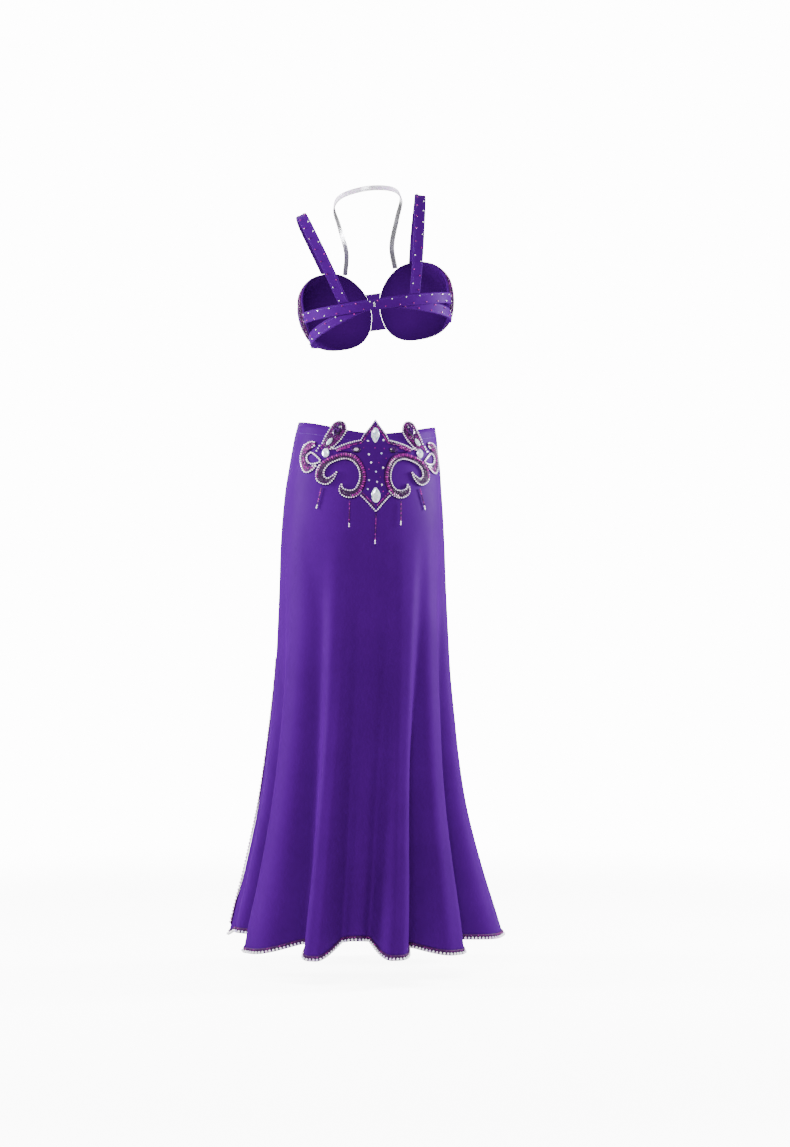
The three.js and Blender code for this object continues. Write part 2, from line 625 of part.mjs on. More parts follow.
function lowerLine(drop) {
  return (degrees) => {
    const part = clamp((Math.abs(degrees) - LOWER_START) / (90 - LOWER_START), 0, 1);
    return -1 - (drop - 1) * part ** 1.15;
  };
}

// A flat ribbon through stations with a middle point, a sideways and an outward direction
function ribbon(stations, width, thick) {
  const layer = (above) => stations.map(({ at, side, out }) => [-0.5, 0, 0.5].map((place) => (
    at.clone().addScaledVector(side, place * width).addScaledVector(out, above)
  )));
  return wall(layer(thick), layer(0));
}

function strapSolid({ side, at_band: atBand, at_shoulder: atShoulder, rise }) {
  const knots = STRAP_STATIONS.map(({ across, back, up }) => new THREE.Vector3(
    side * lerp(atBand, atShoulder, across),
    back,
    up + rise * clamp((up - CUP_TOP) / 60, 0, 1),
  ));
  const turns = STRAP_STATIONS.map(({ yaw, slope }) => new THREE.Vector3(yaw, slope, 0));
  const path = new THREE.CatmullRomCurve3(knots, false, 'centripetal');
  const facing = new THREE.CatmullRomCurve3(turns, false, 'centripetal');
  const count = 22;
  const stations = range(count).map((index) => {
    const t = index / (count - 1);
    const { x: yaw, y: slope } = facing.getPoint(t);
    const sideways = new THREE.Vector3(
      side * Math.cos(yaw * DEG) * Math.cos(slope * DEG),
      -Math.sin(yaw * DEG) * Math.cos(slope * DEG),
      -Math.sin(slope * DEG),
    );
    const run = path.getTangent(t);
    const out = new THREE.Vector3().crossVectors(sideways, run).normalize().multiplyScalar(side);
    return { at: path.getPoint(t), side: sideways, out };
  });
  return ribbon(stations, STRAP_WIDTH, BAND);
}

// How much narrower the cup is at a share of its rise towards the strap
const cupTaper = (rise) => 1 - CUP.taper * clamp(rise, 0, 1) ** 1.5;

// Azimuth of the cup's edge from the front, at a height; toward is 1 for its outer edge
function cupEdge(up, toward) {
  const rise = (up - CUP.up) / (up > CUP.up ? CUP.rise : CUP.fall);
  const share = (1 - clamp(Math.abs(rise), 0, 1) ** CUP.squareness) ** (1 / CUP.squareness);
  return CUP.azimuth + toward * CUP.reach * share * cupTaper(rise);
}

// Cup wall: rings of points round its middle, for one side
function cupPoint(side, ring, sector, into) {
  const angle = (2 * Math.PI * sector) / CUP_SECTORS;
  const [c, s] = [Math.cos(angle), Math.sin(angle)];
  const corner = (Math.abs(c) ** CUP.squareness + Math.abs(s) ** CUP.squareness) ** (-1 / CUP.squareness);
  const rise = s * corner * ring;
  const azimuth = CUP.azimuth + CUP.reach * c * corner * ring * cupTaper(s * corner);
  const up = CUP.up + (s > 0 ? CUP.rise : CUP.fall) * rise;
  const bulge = CUP.bulge * (1 - ring ** 2) ** 0.8 * (1 - 0.15 * rise);
  return bodyPoint(side * (180 - azimuth) * DEG, up, CUP_WALL + bulge - into);
}

function cupSolid(side) {
  const outer = CUP_RINGS.map((ring) => (
    range(CUP_SECTORS).map((sector) => cupPoint(side, ring, sector, 0))
  ));
  const inner = CUP_RINGS.map((ring) => (
    range(CUP_SECTORS).map((sector) => cupPoint(side, ring, sector, CUP_WALL))
  ));
  return stack(
    [...outer, ...inner.reverse()],
    cupPoint(side, 0, 0, 0),
    cupPoint(side, 0, 0, CUP_WALL),
  );
}

function edgingSolid(side) {
  const rings = CUP_RINGS.slice(-2);
  const grid = (above) => range(CUP_SECTORS).map((sector) => (
    rings.map((ring) => cupPoint(side, ring, sector, -above))
  ));
  return wall(grid(SEAM_GAP + EDGING_HEIGHT), grid(SEAM_GAP), true);
}

// Centre front piece that fills the space between the cups
function bridgeSolid() {
  const levels = 8;
  const grid = (above) => [-1, 0, 1].map((place) => range(levels + 1).map((index) => {
    const up = lerp(BRIDGE.low, BRIDGE.high, index / levels);
    return bodyPoint((180 - place * (cupEdge(up, -1) - SEAM_TURN)) * DEG, up, above);
  }));
  return wall(grid(CUP_WALL), grid(0));
}

// A stretch of the halter band between two shares of its whole length
function halterSolid(from, to, count) {
  const sideKnots = (side) => HALTER_KNOTS.map(({ across, back, up }) => {
    const shift = HALTER.centre * clamp((up - HALTER_KNOTS[0].up) / 110, 0, 1);
    return new THREE.Vector3(side * across + shift, back, up);
  });
  const nape = new THREE.Vector3(HALTER.centre, NAPE.back, NAPE.up);
  const knots = [...sideKnots(1), nape, ...sideKnots(-1).reverse()];
  const path = new THREE.CatmullRomCurve3(knots, false, 'centripetal');
  const stations = range(count).map((index) => {
    const share = lerp(from, to, index / (count - 1));
    const at = path.getPointAt(share);
    const run = path.getTangentAt(share);
    const away = new THREE.Vector3(at.x - HALTER.centre, at.y, 14);
    const side = new THREE.Vector3().crossVectors(away, run).normalize();
    return { at, side, out: new THREE.Vector3().crossVectors(run, side).normalize() };
  });
  return ribbon(stations, HALTER.height, HALTER.thick);
}

function hookSolid() {
  const grid = (above) => [-1, 0, 1].map((place) => [4, -4].map((up) => (
    bodyPoint((BAND_SEAM + place * 3.4) * DEG, up, above)
  )));
  const onBand = OVER_LAYER + BAND + SEAM_GAP;
  return wall(grid(onBand + 1.2), grid(onBand));
}

// Assembly

const skirt = new THREE.Group();
const backGrid = panelGrid(BACK_FOLDS, BACK_STEPS);
const frontGrid = panelGrid(FRONT_FOLDS, FRONT_STEPS);
skirt.add(
  piece('skirt_back', panelGeometry(backGrid), 'satin'),
  piece('skirt_front', panelGeometry(frontGrid), 'satinDark'),
  piece('hem_trim_back', hemTrim(backGrid), 'trim'),
  piece('hem_trim_front', hemTrim(frontGrid), 'trim'),
  piece('slit_trim_back', slitTrim(backGrid.slice(0, SLIT_TRIM_COLUMNS + 1)), 'trim'),
  piece('slit_trim_front', slitTrim(frontGrid.slice(-SLIT_TRIM_COLUMNS - 1)), 'trim'),
);

const applique = new THREE.Group();
const scroll = ribStations(SCROLL, 34);
const loop = ribStations(WING_LOOP, 16, true);
applique.add(piece('applique_center', plateSolid(scroll), 'satin'));
for (const [name, mirror] of [['left', 1], ['right', -1]]) {
  applique.add(
    piece(`scroll_${name}`, ribSolid(scroll, SCROLL_HEIGHT, mirror), 'beads'),
    piece(`petal_${name}`, ribSolid(ribStations(PETAL, 10), PETAL_HEIGHT, mirror), 'beads'),
    piece(`wing_${name}`, ribSolid(ribStations(WING, 14), WING_HEIGHT, mirror), 'beads'),
    piece(`wing_loop_${name}`, ribSolid(loop, LOOP_HEIGHT, mirror, true), 'clear'),
  );
  for (const stone of SIDE_STONES) {
    const finish = stone.name.includes('dark') ? 'dark' : 'clear';
    applique.add(piece(`${stone.name}_${name}`, stoneSolid(stone, mirror), finish));
  }
}
for (const stone of CENTRE_STONES) {
  applique.add(piece(stone.name, stoneSolid(stone, 1), 'clear'));
}
for (const dangle of DANGLES) {
  applique.add(piece(dangle.name, dangleSolid(dangle), 'beads'));
}

const bra = new THREE.Group();
bra.position.set(BRA_PLACE.x, BRA_PLACE.y, BRA_PLACE.z);
bra.rotation.set(0, BRA_PLACE.lean * DEG, BRA_PLACE.turn * DEG);
const level = () => 0;
bra.add(
  piece('back_band_left', backBand(BAND_SEAM + SEAM_TURN, 1, level, OVER_LAYER, 18, 2), 'satin'),
  piece('back_band_right', backBand(BAND_SEAM, -1, level, OVER_LAYER, 19, 2), 'satin'),
  piece('lower_band_left', backBand(LOWER_START, 1, lowerLine(LEFT_DROP), UNDER_LAYER, 14, 4), 'satin'),
  piece('lower_band_right', backBand(-LOWER_START, -1, lowerLine(RIGHT_DROP), UNDER_LAYER, 14, 4), 'satin'),
  piece('band_hook', hookSolid(), 'steel'),
  piece('bridge', bridgeSolid(), 'satin'),
  piece('halter_band', halterSolid(
    HALTER.arm_share + HALTER.gap_share,
    1 - HALTER.arm_share - HALTER.gap_share,
    19,
  ), 'clear'),
  piece('halter_arm_left', halterSolid(0, HALTER.arm_share, 11), 'clear'),
  piece('halter_arm_right', halterSolid(1 - HALTER.arm_share, 1, 11), 'clear'),
);
for (const { side, name, ...strap } of STRAP_SIDES) {
  bra.add(
    piece(`strap_${name}`, strapSolid({ side, ...strap }), 'satin'),
    piece(`cup_${name}`, cupSolid(side), 'satin'),
    piece(`cup_edge_${name}`, edgingSolid(side), 'beads'),
  );
}

const dress = new THREE.Group();
dress.add(skirt, applique, bra);

export default dress;
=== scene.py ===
"""Belly dance dress: the finished look of a violet two-piece stage costume.

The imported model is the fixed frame. Every piece is worked out in millimetres from the same
sizes and tables as its solid, finer than the solid, and laid in its place. Angles run from
the back centre towards the wearer's left.
"""

import json
import logging
import math
from dataclasses import dataclass
from enum import Enum
from typing import Callable, NamedTuple

import bpy
import numpy as np
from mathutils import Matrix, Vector

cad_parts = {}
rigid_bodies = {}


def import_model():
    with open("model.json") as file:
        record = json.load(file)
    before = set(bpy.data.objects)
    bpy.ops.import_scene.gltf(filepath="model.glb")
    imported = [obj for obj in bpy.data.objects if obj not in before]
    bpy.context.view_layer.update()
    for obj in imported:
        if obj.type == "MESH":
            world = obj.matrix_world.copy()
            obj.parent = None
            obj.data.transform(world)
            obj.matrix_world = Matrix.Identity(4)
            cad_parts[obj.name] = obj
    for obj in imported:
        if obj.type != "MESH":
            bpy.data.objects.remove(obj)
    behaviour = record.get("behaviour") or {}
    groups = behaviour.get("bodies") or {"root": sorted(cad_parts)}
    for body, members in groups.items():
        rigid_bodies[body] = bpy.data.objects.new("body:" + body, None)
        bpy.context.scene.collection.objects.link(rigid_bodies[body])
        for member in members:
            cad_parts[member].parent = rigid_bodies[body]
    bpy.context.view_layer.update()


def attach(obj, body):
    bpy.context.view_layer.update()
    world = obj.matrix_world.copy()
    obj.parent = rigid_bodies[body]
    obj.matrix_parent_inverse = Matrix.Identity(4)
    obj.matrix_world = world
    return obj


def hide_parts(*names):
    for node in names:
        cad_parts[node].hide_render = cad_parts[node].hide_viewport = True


LOG = logging.getLogger("dress")
MM = 0.001
SEED = 11
Array = np.ndarray


# Curves and tables


def unit(vectors: Array) -> Array:
    """Vectors scaled to length one."""
    return vectors / np.maximum(np.linalg.norm(vectors, axis=-1, keepdims=True), 1e-9)


def smooth_column(rows: tuple, key: str, name: str, where: Array) -> Array:
    """Reads a table's column on a smooth curve through its rows.

    Args:
        rows: the table, in rising or falling order of its key.
        key: the column that where refers to.
        name: the column that is read.
        where: values of the key.

    Returns:
        The column's values, carried on straight past both ends.
    """
    keys = np.array([getattr(row, key) for row in rows], float)
    values = np.array([getattr(row, name) for row in rows], float)
    order = np.argsort(keys)
    keys, values = keys[order], values[order]
    slope = np.gradient(values, keys)
    inside = np.clip(where, keys[0], keys[-1])
    i = np.clip(np.searchsorted(keys, inside) - 1, 0, len(keys) - 2)
    span = keys[i + 1] - keys[i]
    t = (inside - keys[i]) / span
    curve = (
        values[i] * (1 + 2 * t) * (1 - t) ** 2
        + slope[i] * span * t * (1 - t) ** 2
        + values[i + 1] * t * t * (3 - 2 * t)
        + slope[i + 1] * span * t * t * (t - 1)
    )
    past = where - inside
    return curve + past * np.where(past < 0, slope[0], slope[-1])


def curve_through(knots: Array, count: int, ring: bool = False) -> Array:
    """Points on a centripetal Catmull-Rom curve.

    Args:
        knots: the points that the curve passes, one a row.
        count: how many points to return.
        ring: whether the curve closes on itself.

    Returns:
        The points, evenly spread over the curve's own parameter.
    """
    last = len(knots)
    spans = last if ring else last - 1
    ends = (knots[-1], knots[0], knots[1]) if ring else (2 * knots[0] - knots[1], 2 * knots[-1] - knots[-2])
    line = np.vstack([ends[0], knots, ends[1], ends[2]]) if ring else np.vstack([ends[0], knots, ends[1]])
    result = []
    for index in range(count):
        place = spans * index / (count if ring else count - 1)
        i = min(int(place), spans - 1)
        p = line[i : i + 4]
        t = place - i
        d = [max(float(np.sum((p[k + 1] - p[k]) ** 2)) ** 0.25, 1e-4) for k in range(3)]
        t1 = (p[1] - p[0]) / d[0] - (p[2] - p[0]) / (d[0] + d[1]) + (p[2] - p[1]) / d[1]
        t2 = (p[2] - p[1]) / d[1] - (p[3] - p[1]) / (d[1] + d[2]) + (p[3] - p[2]) / d[2]
        t1, t2 = t1 * d[1], t2 * d[1]
        a2 = -3 * p[1] + 3 * p[2] - 2 * t1 - t2
        a3 = 2 * p[1] - 2 * p[2] + t1 + t2
        result.append(p[1] + t1 * t + a2 * t * t + a3 * t**3)
    return np.array(result)


def spaced(path: Array, pitch: float, ring: bool = False, start: float = 0.5) -> Array:
    """Shares of a path's index at an even pitch along its length.

    Args:
        path: the points of the path.
        pitch: the wanted distance between two places.
        ring: whether the path closes on itself.
        start: where the first place lies, as a share of the pitch.

    Returns:
        Positions in the path's index, for use with pick.
    """
    points = np.vstack([path, path[:1]]) if ring else path
    lengths = np.linalg.norm(np.diff(points, axis=0), axis=1)
    run = np.concatenate([[0], np.cumsum(lengths)])
    count = max(int(round(run[-1] / pitch)), 1)
    wanted = (np.arange(count) + start) * run[-1] / count
    return np.interp(wanted, run, np.arange(len(points)))


def seats(path: Array, pitch: float, start: float = 0.5) -> Array:
    """Places at an even pitch along an open path, kept short of its last point."""
    return np.minimum(spaced(path, pitch, start=start), len(path) - 1.001)


def pick(values: Array, where: Array) -> Array:
    """Values between an array's rows, at shares of its index; past the end it wraps round."""
    low = np.floor(where).astype(int)
    part = (where - low).reshape(-1, *([1] * (values.ndim - 1)))
    count = len(values)
    return values[low % count] * (1 - part) + values[(low + 1) % count] * part


# Meshes


def new_object(name: str, points: Array, faces: list, uv: Array | None = None) -> bpy.types.Object:
    """Makes a mesh object from points in millimetres.

    Args:
        name: the object's name.
        points: one row for each vertex.
        faces: tuples of vertex numbers.
        uv: flat coordinates of each vertex in millimetres.

    Returns:
        The new object, linked to the scene.
    """
    mesh = bpy.data.meshes.new(name)
    mesh.from_pydata((points * MM).tolist(), [], faces)
    if uv is not None:
        layer = mesh.uv_layers.new(name="cloth")
        loops = np.zeros(len(mesh.loops), np.int32)
        mesh.loops.foreach_get("vertex_index", loops)
        layer.data.foreach_set("uv", (uv[loops] * MM).astype(np.float32).ravel())
    mesh.validate()
    made = bpy.data.objects.new(name, mesh)
    bpy.context.scene.collection.objects.link(made)
    return made


def face_volume(points: Array, faces: list) -> float:
    """Signed volume of a closed mesh; it is positive if the faces point out."""
    total = 0.0
    for face in faces:
        for k in range(1, len(face) - 1):
            total += float(np.dot(points[face[0]], np.cross(points[face[k]], points[face[k + 1]])))
    return total


def wall_object(name: str, outer: Array, inner: Array, uv: Array, ring: bool = False) -> bpy.types.Object:
    """Closes the space between two grids of points.

    Args:
        name: the object's name.
        outer: outer grid, columns by rows by three.
        inner: inner grid of the same size.
        uv: flat coordinates of the grid.
        ring: whether the last column joins the first.

    Returns:
        A closed wall, smooth on both faces and crisp at its rim.
    """
    columns, rows = outer.shape[:2]
    out = np.arange(columns * rows).reshape(columns, rows)
    into = out + columns * rows
    if ring:
        out, into = np.vstack([out, out[:1]]), np.vstack([into, into[:1]])
    a, b = out[:-1, :-1].ravel(), out[1:, :-1].ravel()
    c, d = out[1:, 1:].ravel(), out[:-1, 1:].ravel()
    shift = columns * rows
    faces = list(zip(a, b, c, d)) + list(zip(a + shift, d + shift, c + shift, b + shift))
    rim = [(out[i, 0], into[i, 0], into[i + 1, 0], out[i + 1, 0]) for i in range(len(out) - 1)]
    rim += [(out[i, -1], out[i + 1, -1], into[i + 1, -1], into[i, -1]) for i in range(len(out) - 1)]
    if not ring:
        rim += [(out[0, j], out[0, j + 1], into[0, j + 1], into[0, j]) for j in range(rows - 1)]
        rim += [(out[-1, j], into[-1, j], into[-1, j + 1], out[-1, j + 1]) for j in range(rows - 1)]
    points = np.vstack([outer.reshape(-1, 3), inner.reshape(-1, 3)])
    every = [tuple(int(v) for v in face) for face in faces + rim]
    if face_volume(points - points.mean(0), every) < 0:
        every = [face[::-1] for face in every]
    made = new_object(name, points, every, np.vstack([uv.reshape(-1, 2)] * 2))
    smooth = np.arange(len(every)) < len(faces)
    made.data.polygons.foreach_set("use_smooth", smooth)
    return made


def ring_stack(name: str, rings: list, first: Array, last: Array, smooth: bool) -> bpy.types.Object:
    """Closes a stack of rings with a middle point at both ends.

    Args:
        name: the object's name.
        rings: arrays of points, all of the same count.
        first: the middle point before the first ring.
        last: the middle point after the last ring.
        smooth: whether its faces are shaded smooth.

    Returns:
        The closed object.
    """
    count = len(rings[0])
    points = np.vstack([*rings, first[None], last[None]])
    at = np.arange(len(rings) * count).reshape(len(rings), count)
    nxt = np.roll(at, -1, axis=1)
    faces = []
    for k in range(len(rings) - 1):
        faces += list(zip(at[k], nxt[k], nxt[k + 1], at[k + 1]))
    faces += [(len(points) - 2, nxt[0, i], at[0, i]) for i in range(count)]
    faces += [(len(points) - 1, at[-1, i], nxt[-1, i]) for i in range(count)]
    every = [tuple(int(v) for v in face) for face in faces]
    if face_volume(points - points.mean(0), every) < 0:
        every = [face[::-1] for face in every]
    made = new_object(name, points, every)
    made.data.polygons.foreach_set("use_smooth", np.full(len(every), smooth))
    return made


def tube_object(name: str, path: Array, radius: float, sides: int = 10) -> bpy.types.Object:
    """A round wire along a path, closed at both ends."""
    run = unit(np.gradient(path, axis=0))
    side = unit(np.cross(run, np.tile([0.3, 0.2, 1.0], (len(path), 1))))
    over = np.cross(run, side)
    turn = np.linspace(0, 2 * math.pi, sides, endpoint=False)
    rings = []
    for point, s, o in zip(path, side, over):
        rings.append(point + radius * (np.cos(turn)[:, None] * s + np.sin(turn)[:, None] * o))
    return ring_stack(name, rings, path[0], path[-1], True)


def joined(name: str, parts: list) -> bpy.types.Object:
    """Joins objects into the first one and names it."""
    for part in bpy.context.view_layer.objects:
        part.select_set(False)
    for part in parts:
        part.select_set(True)
    bpy.context.view_layer.objects.active = parts[0]
    bpy.ops.object.join()
    parts[0].name = name
    parts[0].data.name = name
    return parts[0]


# Finishes


class NodeBoard:
    """Adds and joins the nodes of one material or node group."""

    def __init__(self, tree: bpy.types.NodeTree) -> None:
        """Keeps the tree that the nodes go into."""
        self.tree = tree

    def add(self, kind: str, inputs: dict | None = None, **settings: object) -> bpy.types.Node:
        """Adds a node.

        Args:
            kind: Blender's name for the type of node.
            inputs: socket names or numbers, with a value or another node's output.
            settings: the node's own properties.

        Returns:
            The new node.
        """
        node = self.tree.nodes.new(kind)
        for name, value in settings.items():
            setattr(node, name, value)
        return self.feed(node, inputs or {})

    def feed(self, node: bpy.types.Node, inputs: dict) -> bpy.types.Node:
        """Sets a node's inputs, or links them where the value is another node's output."""
        for name, value in inputs.items():
            if isinstance(value, bpy.types.NodeSocket):
                self.tree.links.new(value, node.inputs[name])
            else:
                node.inputs[name].default_value = value
        return node


def new_group(name: str, inputs: dict, outputs: dict) -> tuple:
    """Starts a shader node group with named sockets.

    Args:
        name: the group's name.
        inputs: socket names with their type and standard value.
        outputs: socket names with their type.

    Returns:
        The board, the group's input node and its output node.
    """
    tree = bpy.data.node_groups.new(name, "ShaderNodeTree")
    for socket, (kind, value) in inputs.items():
        made = tree.interface.new_socket(socket, in_out="INPUT", socket_type=kind)
        if value is not None:
            made.default_value = value
    for socket, kind in outputs.items():
        tree.interface.new_socket(socket, in_out="OUTPUT", socket_type=kind)
    board = NodeBoard(tree)
    return board, board.add("NodeGroupInput"), board.add("NodeGroupOutput")


class Effects:
    """Shader node groups that more than one finish uses, each built once."""

    @staticmethod
    def knit() -> bpy.types.NodeTree:
        """Fine ribs and loops of stretch cloth.

        Returns:
            A group that turns flat cloth coordinates in metres into a height and a mask.
        """
        if "knit_loops" in bpy.data.node_groups:
            return bpy.data.node_groups["knit_loops"]
        board, start, end = new_group(
            "knit_loops",
            {
                "Vector": ("NodeSocketVector", None),
                "Loops per Metre": ("NodeSocketFloat", 1100.0),
                "Unevenness": ("NodeSocketFloat", 0.4),
            },
            {"Height": "NodeSocketFloat", "Mask": "NodeSocketFloat"},
        )
        size = board.add(
            "ShaderNodeVectorMath",
            {0: start.outputs["Vector"], "Scale": start.outputs["Loops per Metre"]},
            operation="SCALE",
        )
        wave = {"Vector": size.outputs[0], "Scale": 0.16, "Distortion": 0.6}
        ribs = [board.add("ShaderNodeTexWave", wave, bands_direction=way).outputs["Fac"] for way in ("X", "Y")]
        loops = board.add("ShaderNodeMath", {0: ribs[0], 1: ribs[1]}, operation="MULTIPLY")
        drift = board.add("ShaderNodeTexNoise", {"Vector": size.outputs[0], "Scale": 0.05, "Detail": 3.0})
        spread = board.add(
            "ShaderNodeMath",
            {0: drift.outputs["Fac"], 1: start.outputs["Unevenness"]},
            operation="MULTIPLY",
        )
        height = board.add("ShaderNodeMath", {0: loops.outputs[0], 1: spread.outputs[0]}, operation="ADD")
        board.feed(end, {"Height": height.outputs[0], "Mask": drift.outputs["Fac"]})
        return board.tree

    @staticmethod
    def drift() -> bpy.types.NodeTree:
        """Slow unevenness of a finish over tens of millimetres.

        Returns:
            A group that turns object coordinates in metres into a mask around one half.
        """
        if "slow_drift" in bpy.data.node_groups:
            return bpy.data.node_groups["slow_drift"]
        board, start, end = new_group(
            "slow_drift",
            {"Vector": ("NodeSocketVector", None), "Patches per Metre": ("NodeSocketFloat", 7.0)},
            {"Mask": "NodeSocketFloat"},
        )
        noise = board.add(
            "ShaderNodeTexNoise",
            {
                "Vector": start.outputs["Vector"],
                "Scale": start.outputs["Patches per Metre"],
                "Detail": 4.0,
                "Roughness": 0.55,
            },
        )
        spread = board.add(
            "ShaderNodeMapRange", {"Value": noise.outputs["Fac"], "From Min": 0.3, "From Max": 0.7}
        )
        board.feed(end, {"Mask": spread.outputs["Result"]})
        return board.tree


def new_material(name: str) -> tuple:
    """Starts a material.

    Returns:
        The material, its board and its Principled BSDF node.
    """
    material = bpy.data.materials.new(name)
    material.use_nodes = True
    board = NodeBoard(material.node_tree)
    return material, board, material.node_tree.nodes["Principled BSDF"]


def group_node(board: NodeBoard, tree: bpy.types.NodeTree, inputs: dict) -> bpy.types.Node:
    """Places a node group in a material with its own values."""
    return board.add("ShaderNodeGroup", inputs, node_tree=tree)


def mixed_color(board: NodeBoard, factor: bpy.types.NodeSocket, low: tuple, high: tuple) -> bpy.types.NodeSocket:
    """A colour between two, by a mask."""
    mix = board.add("ShaderNodeMix", {"Factor": factor, "A": low, "B": high}, data_type="RGBA")
    return mix.outputs["Result"]


@dataclass(frozen=True)
class SatinCloth:
    """Violet stretch cloth: a smooth knit with a soft satin sheen."""

    name: str = "violet_satin"
    deep: tuple = (0.031, 0.0003, 0.088, 1)
    light: tuple = (0.039, 0.0004, 0.11, 1)
    smoothest: float = 0.47
    roughest: float = 0.59
    bump: float = 0.12
    bump_depth: float = 0.0003
    sheen: float = 0.06
    sheen_roughness: float = 0.4
    sheen_tint: tuple = (0.34, 0.03, 0.9, 1)
    gloss: float = 0.03
    gloss_tint: tuple = (0.5, 0.1, 1.0, 1)

    def make(self) -> bpy.types.Material:
        """Builds the material."""
        material, board, shader = new_material(self.name)
        place = board.add("ShaderNodeTexCoord")
        knit = group_node(board, Effects.knit(), {"Vector": place.outputs["UV"]})
        drift = group_node(board, Effects.drift(), {"Vector": place.outputs["Object"]})
        tone = mixed_color(board, drift.outputs["Mask"], self.deep, self.light)
        rough = board.add(
            "ShaderNodeMapRange",
            {"Value": knit.outputs["Mask"], "To Min": self.smoothest, "To Max": self.roughest},
        )
        relief = board.add(
            "ShaderNodeBump",
            {"Strength": self.bump, "Distance": self.bump_depth, "Height": knit.outputs["Height"]},
        )
        board.feed(
            shader,
            {
                "Base Color": tone,
                "Roughness": rough.outputs["Result"],
                "Normal": relief.outputs["Normal"],
                "Sheen Weight": self.sheen,
                "Sheen Roughness": self.sheen_roughness,
                "Sheen Tint": self.sheen_tint,
                "Specular IOR Level": self.gloss,
                "Specular Tint": self.gloss_tint,
            },
        )
        return material


@dataclass(frozen=True)
class ToneFinish:
    """A glossy finish whose colour runs between stops by each stone's own tone."""

    name: str
    stops: tuple
    roughness: float
    metallic: float = 0.0
    coat: float = 0.0
    speckle: float = 0.06
    film: float = 0.0
    film_ior: float = 1.5
    specular: float = 0.5
    coat_roughness: float = 0.05
    patches: float = 420.0

    def make(self) -> bpy.types.Material:
        """Builds the material."""
        material, board, shader = new_material(self.name)
        tone = board.add("ShaderNodeAttribute", attribute_name="tone")
        ramp = board.add("ShaderNodeValToRGB", {"Fac": tone.outputs["Fac"]})
        ramp.color_ramp.interpolation = "LINEAR"
        points = ramp.color_ramp.elements
        points[0].position, points[0].color = self.stops[0]
        points[1].position, points[1].color = self.stops[-1]
        for place, color in self.stops[1:-1]:
            points.new(place).color = color
        place = board.add("ShaderNodeTexCoord")
        drift = group_node(
            board, Effects.drift(), {"Vector": place.outputs["Object"], "Patches per Metre": self.patches}
        )
        rough = board.add(
            "ShaderNodeMapRange",
            {"Value": drift.outputs["Mask"], "To Min": self.roughness, "To Max": self.roughness + self.speckle},
        )
        board.feed(
            shader,
            {
                "Base Color": ramp.outputs["Color"],
                "Roughness": rough.outputs["Result"],
                "Metallic": self.metallic,
                "Coat Weight": self.coat,
                "Coat Roughness": self.coat_roughness,
                "Specular IOR Level": self.specular,
            },
        )
        if self.film:
            board.feed(shader, {"Thin Film Thickness": self.film, "Thin Film IOR": self.film_ior})
        return material


@dataclass(frozen=True)
class TapeFinish:
    """Dark plum woven tape under the stones; its colour is darker in the knit's hollows, a painted shade, and drifts
    at random.
    """

    name: str = "plum_tape"
    color: tuple = (0.018, 0.0012, 0.03, 1)
    light: tuple = (0.04, 0.002, 0.06, 1)
    roughness: float = 0.6
    gloss: float = 0.15
    bump: float = 0.4
    bump_depth: float = 0.0004

    def make(self) -> bpy.types.Material:
        """Builds the material."""
        material, board, shader = new_material(self.name)
        place = board.add("ShaderNodeTexCoord")
        knit = group_node(
            board, Effects.knit(), {"Vector": place.outputs["UV"], "Loops per Metre": 900.0, "Unevenness": 0.7}
        )
        relief = board.add(
            "ShaderNodeBump",
            {"Strength": self.bump, "Distance": self.bump_depth, "Height": knit.outputs["Height"]},
        )
        board.feed(
            shader,
            {
                # Colour by knit height: painted shade in the hollows of the loops, plus a random drift.
                "Base Color": mixed_color(board, knit.outputs["Height"], self.color, self.light),
                "Roughness": self.roughness,
                "Specular IOR Level": self.gloss,
                "Normal": relief.outputs["Normal"],
            },
        )
        return material


@dataclass(frozen=True)
class StudioPaint:
    """Plain white floor that fades into the surround away from the dress."""

    name: str = "pale_floor"
    color: tuple = (0.7, 0.7, 0.7, 1)
    roughness: float = 0.9
    near: float = 1.5
    far: float = 2.4
    glow: float = 12.0

    def make(self) -> bpy.types.Material:
        """Builds the material."""
        material, board, shader = new_material(self.name)
        place = board.add("ShaderNodeTexCoord")
        away = board.add("ShaderNodeVectorMath", {0: place.outputs["Object"]}, operation="LENGTH")
        fade = board.add(
            "ShaderNodeMapRange",
            {
                "Value": away.outputs["Value"],
                "From Min": self.near,
                "From Max": self.far,
                "To Min": 1.0,
                "To Max": 0.0,
            },
            interpolation_type="SMOOTHSTEP",
        )
        path = board.add("ShaderNodeLightPath")
        seen = board.add(
            "ShaderNodeMath", {0: path.outputs["Is Camera Ray"], 1: self.glow}, operation="MULTIPLY"
        )
        board.feed(
            shader,
            {
                "Alpha": fade.outputs["Result"],
                "Base Color": self.color,
                "Roughness": self.roughness,
                "Emission Color": self.color,
                "Emission Strength": seen.outputs[0],
            },
        )
        return material


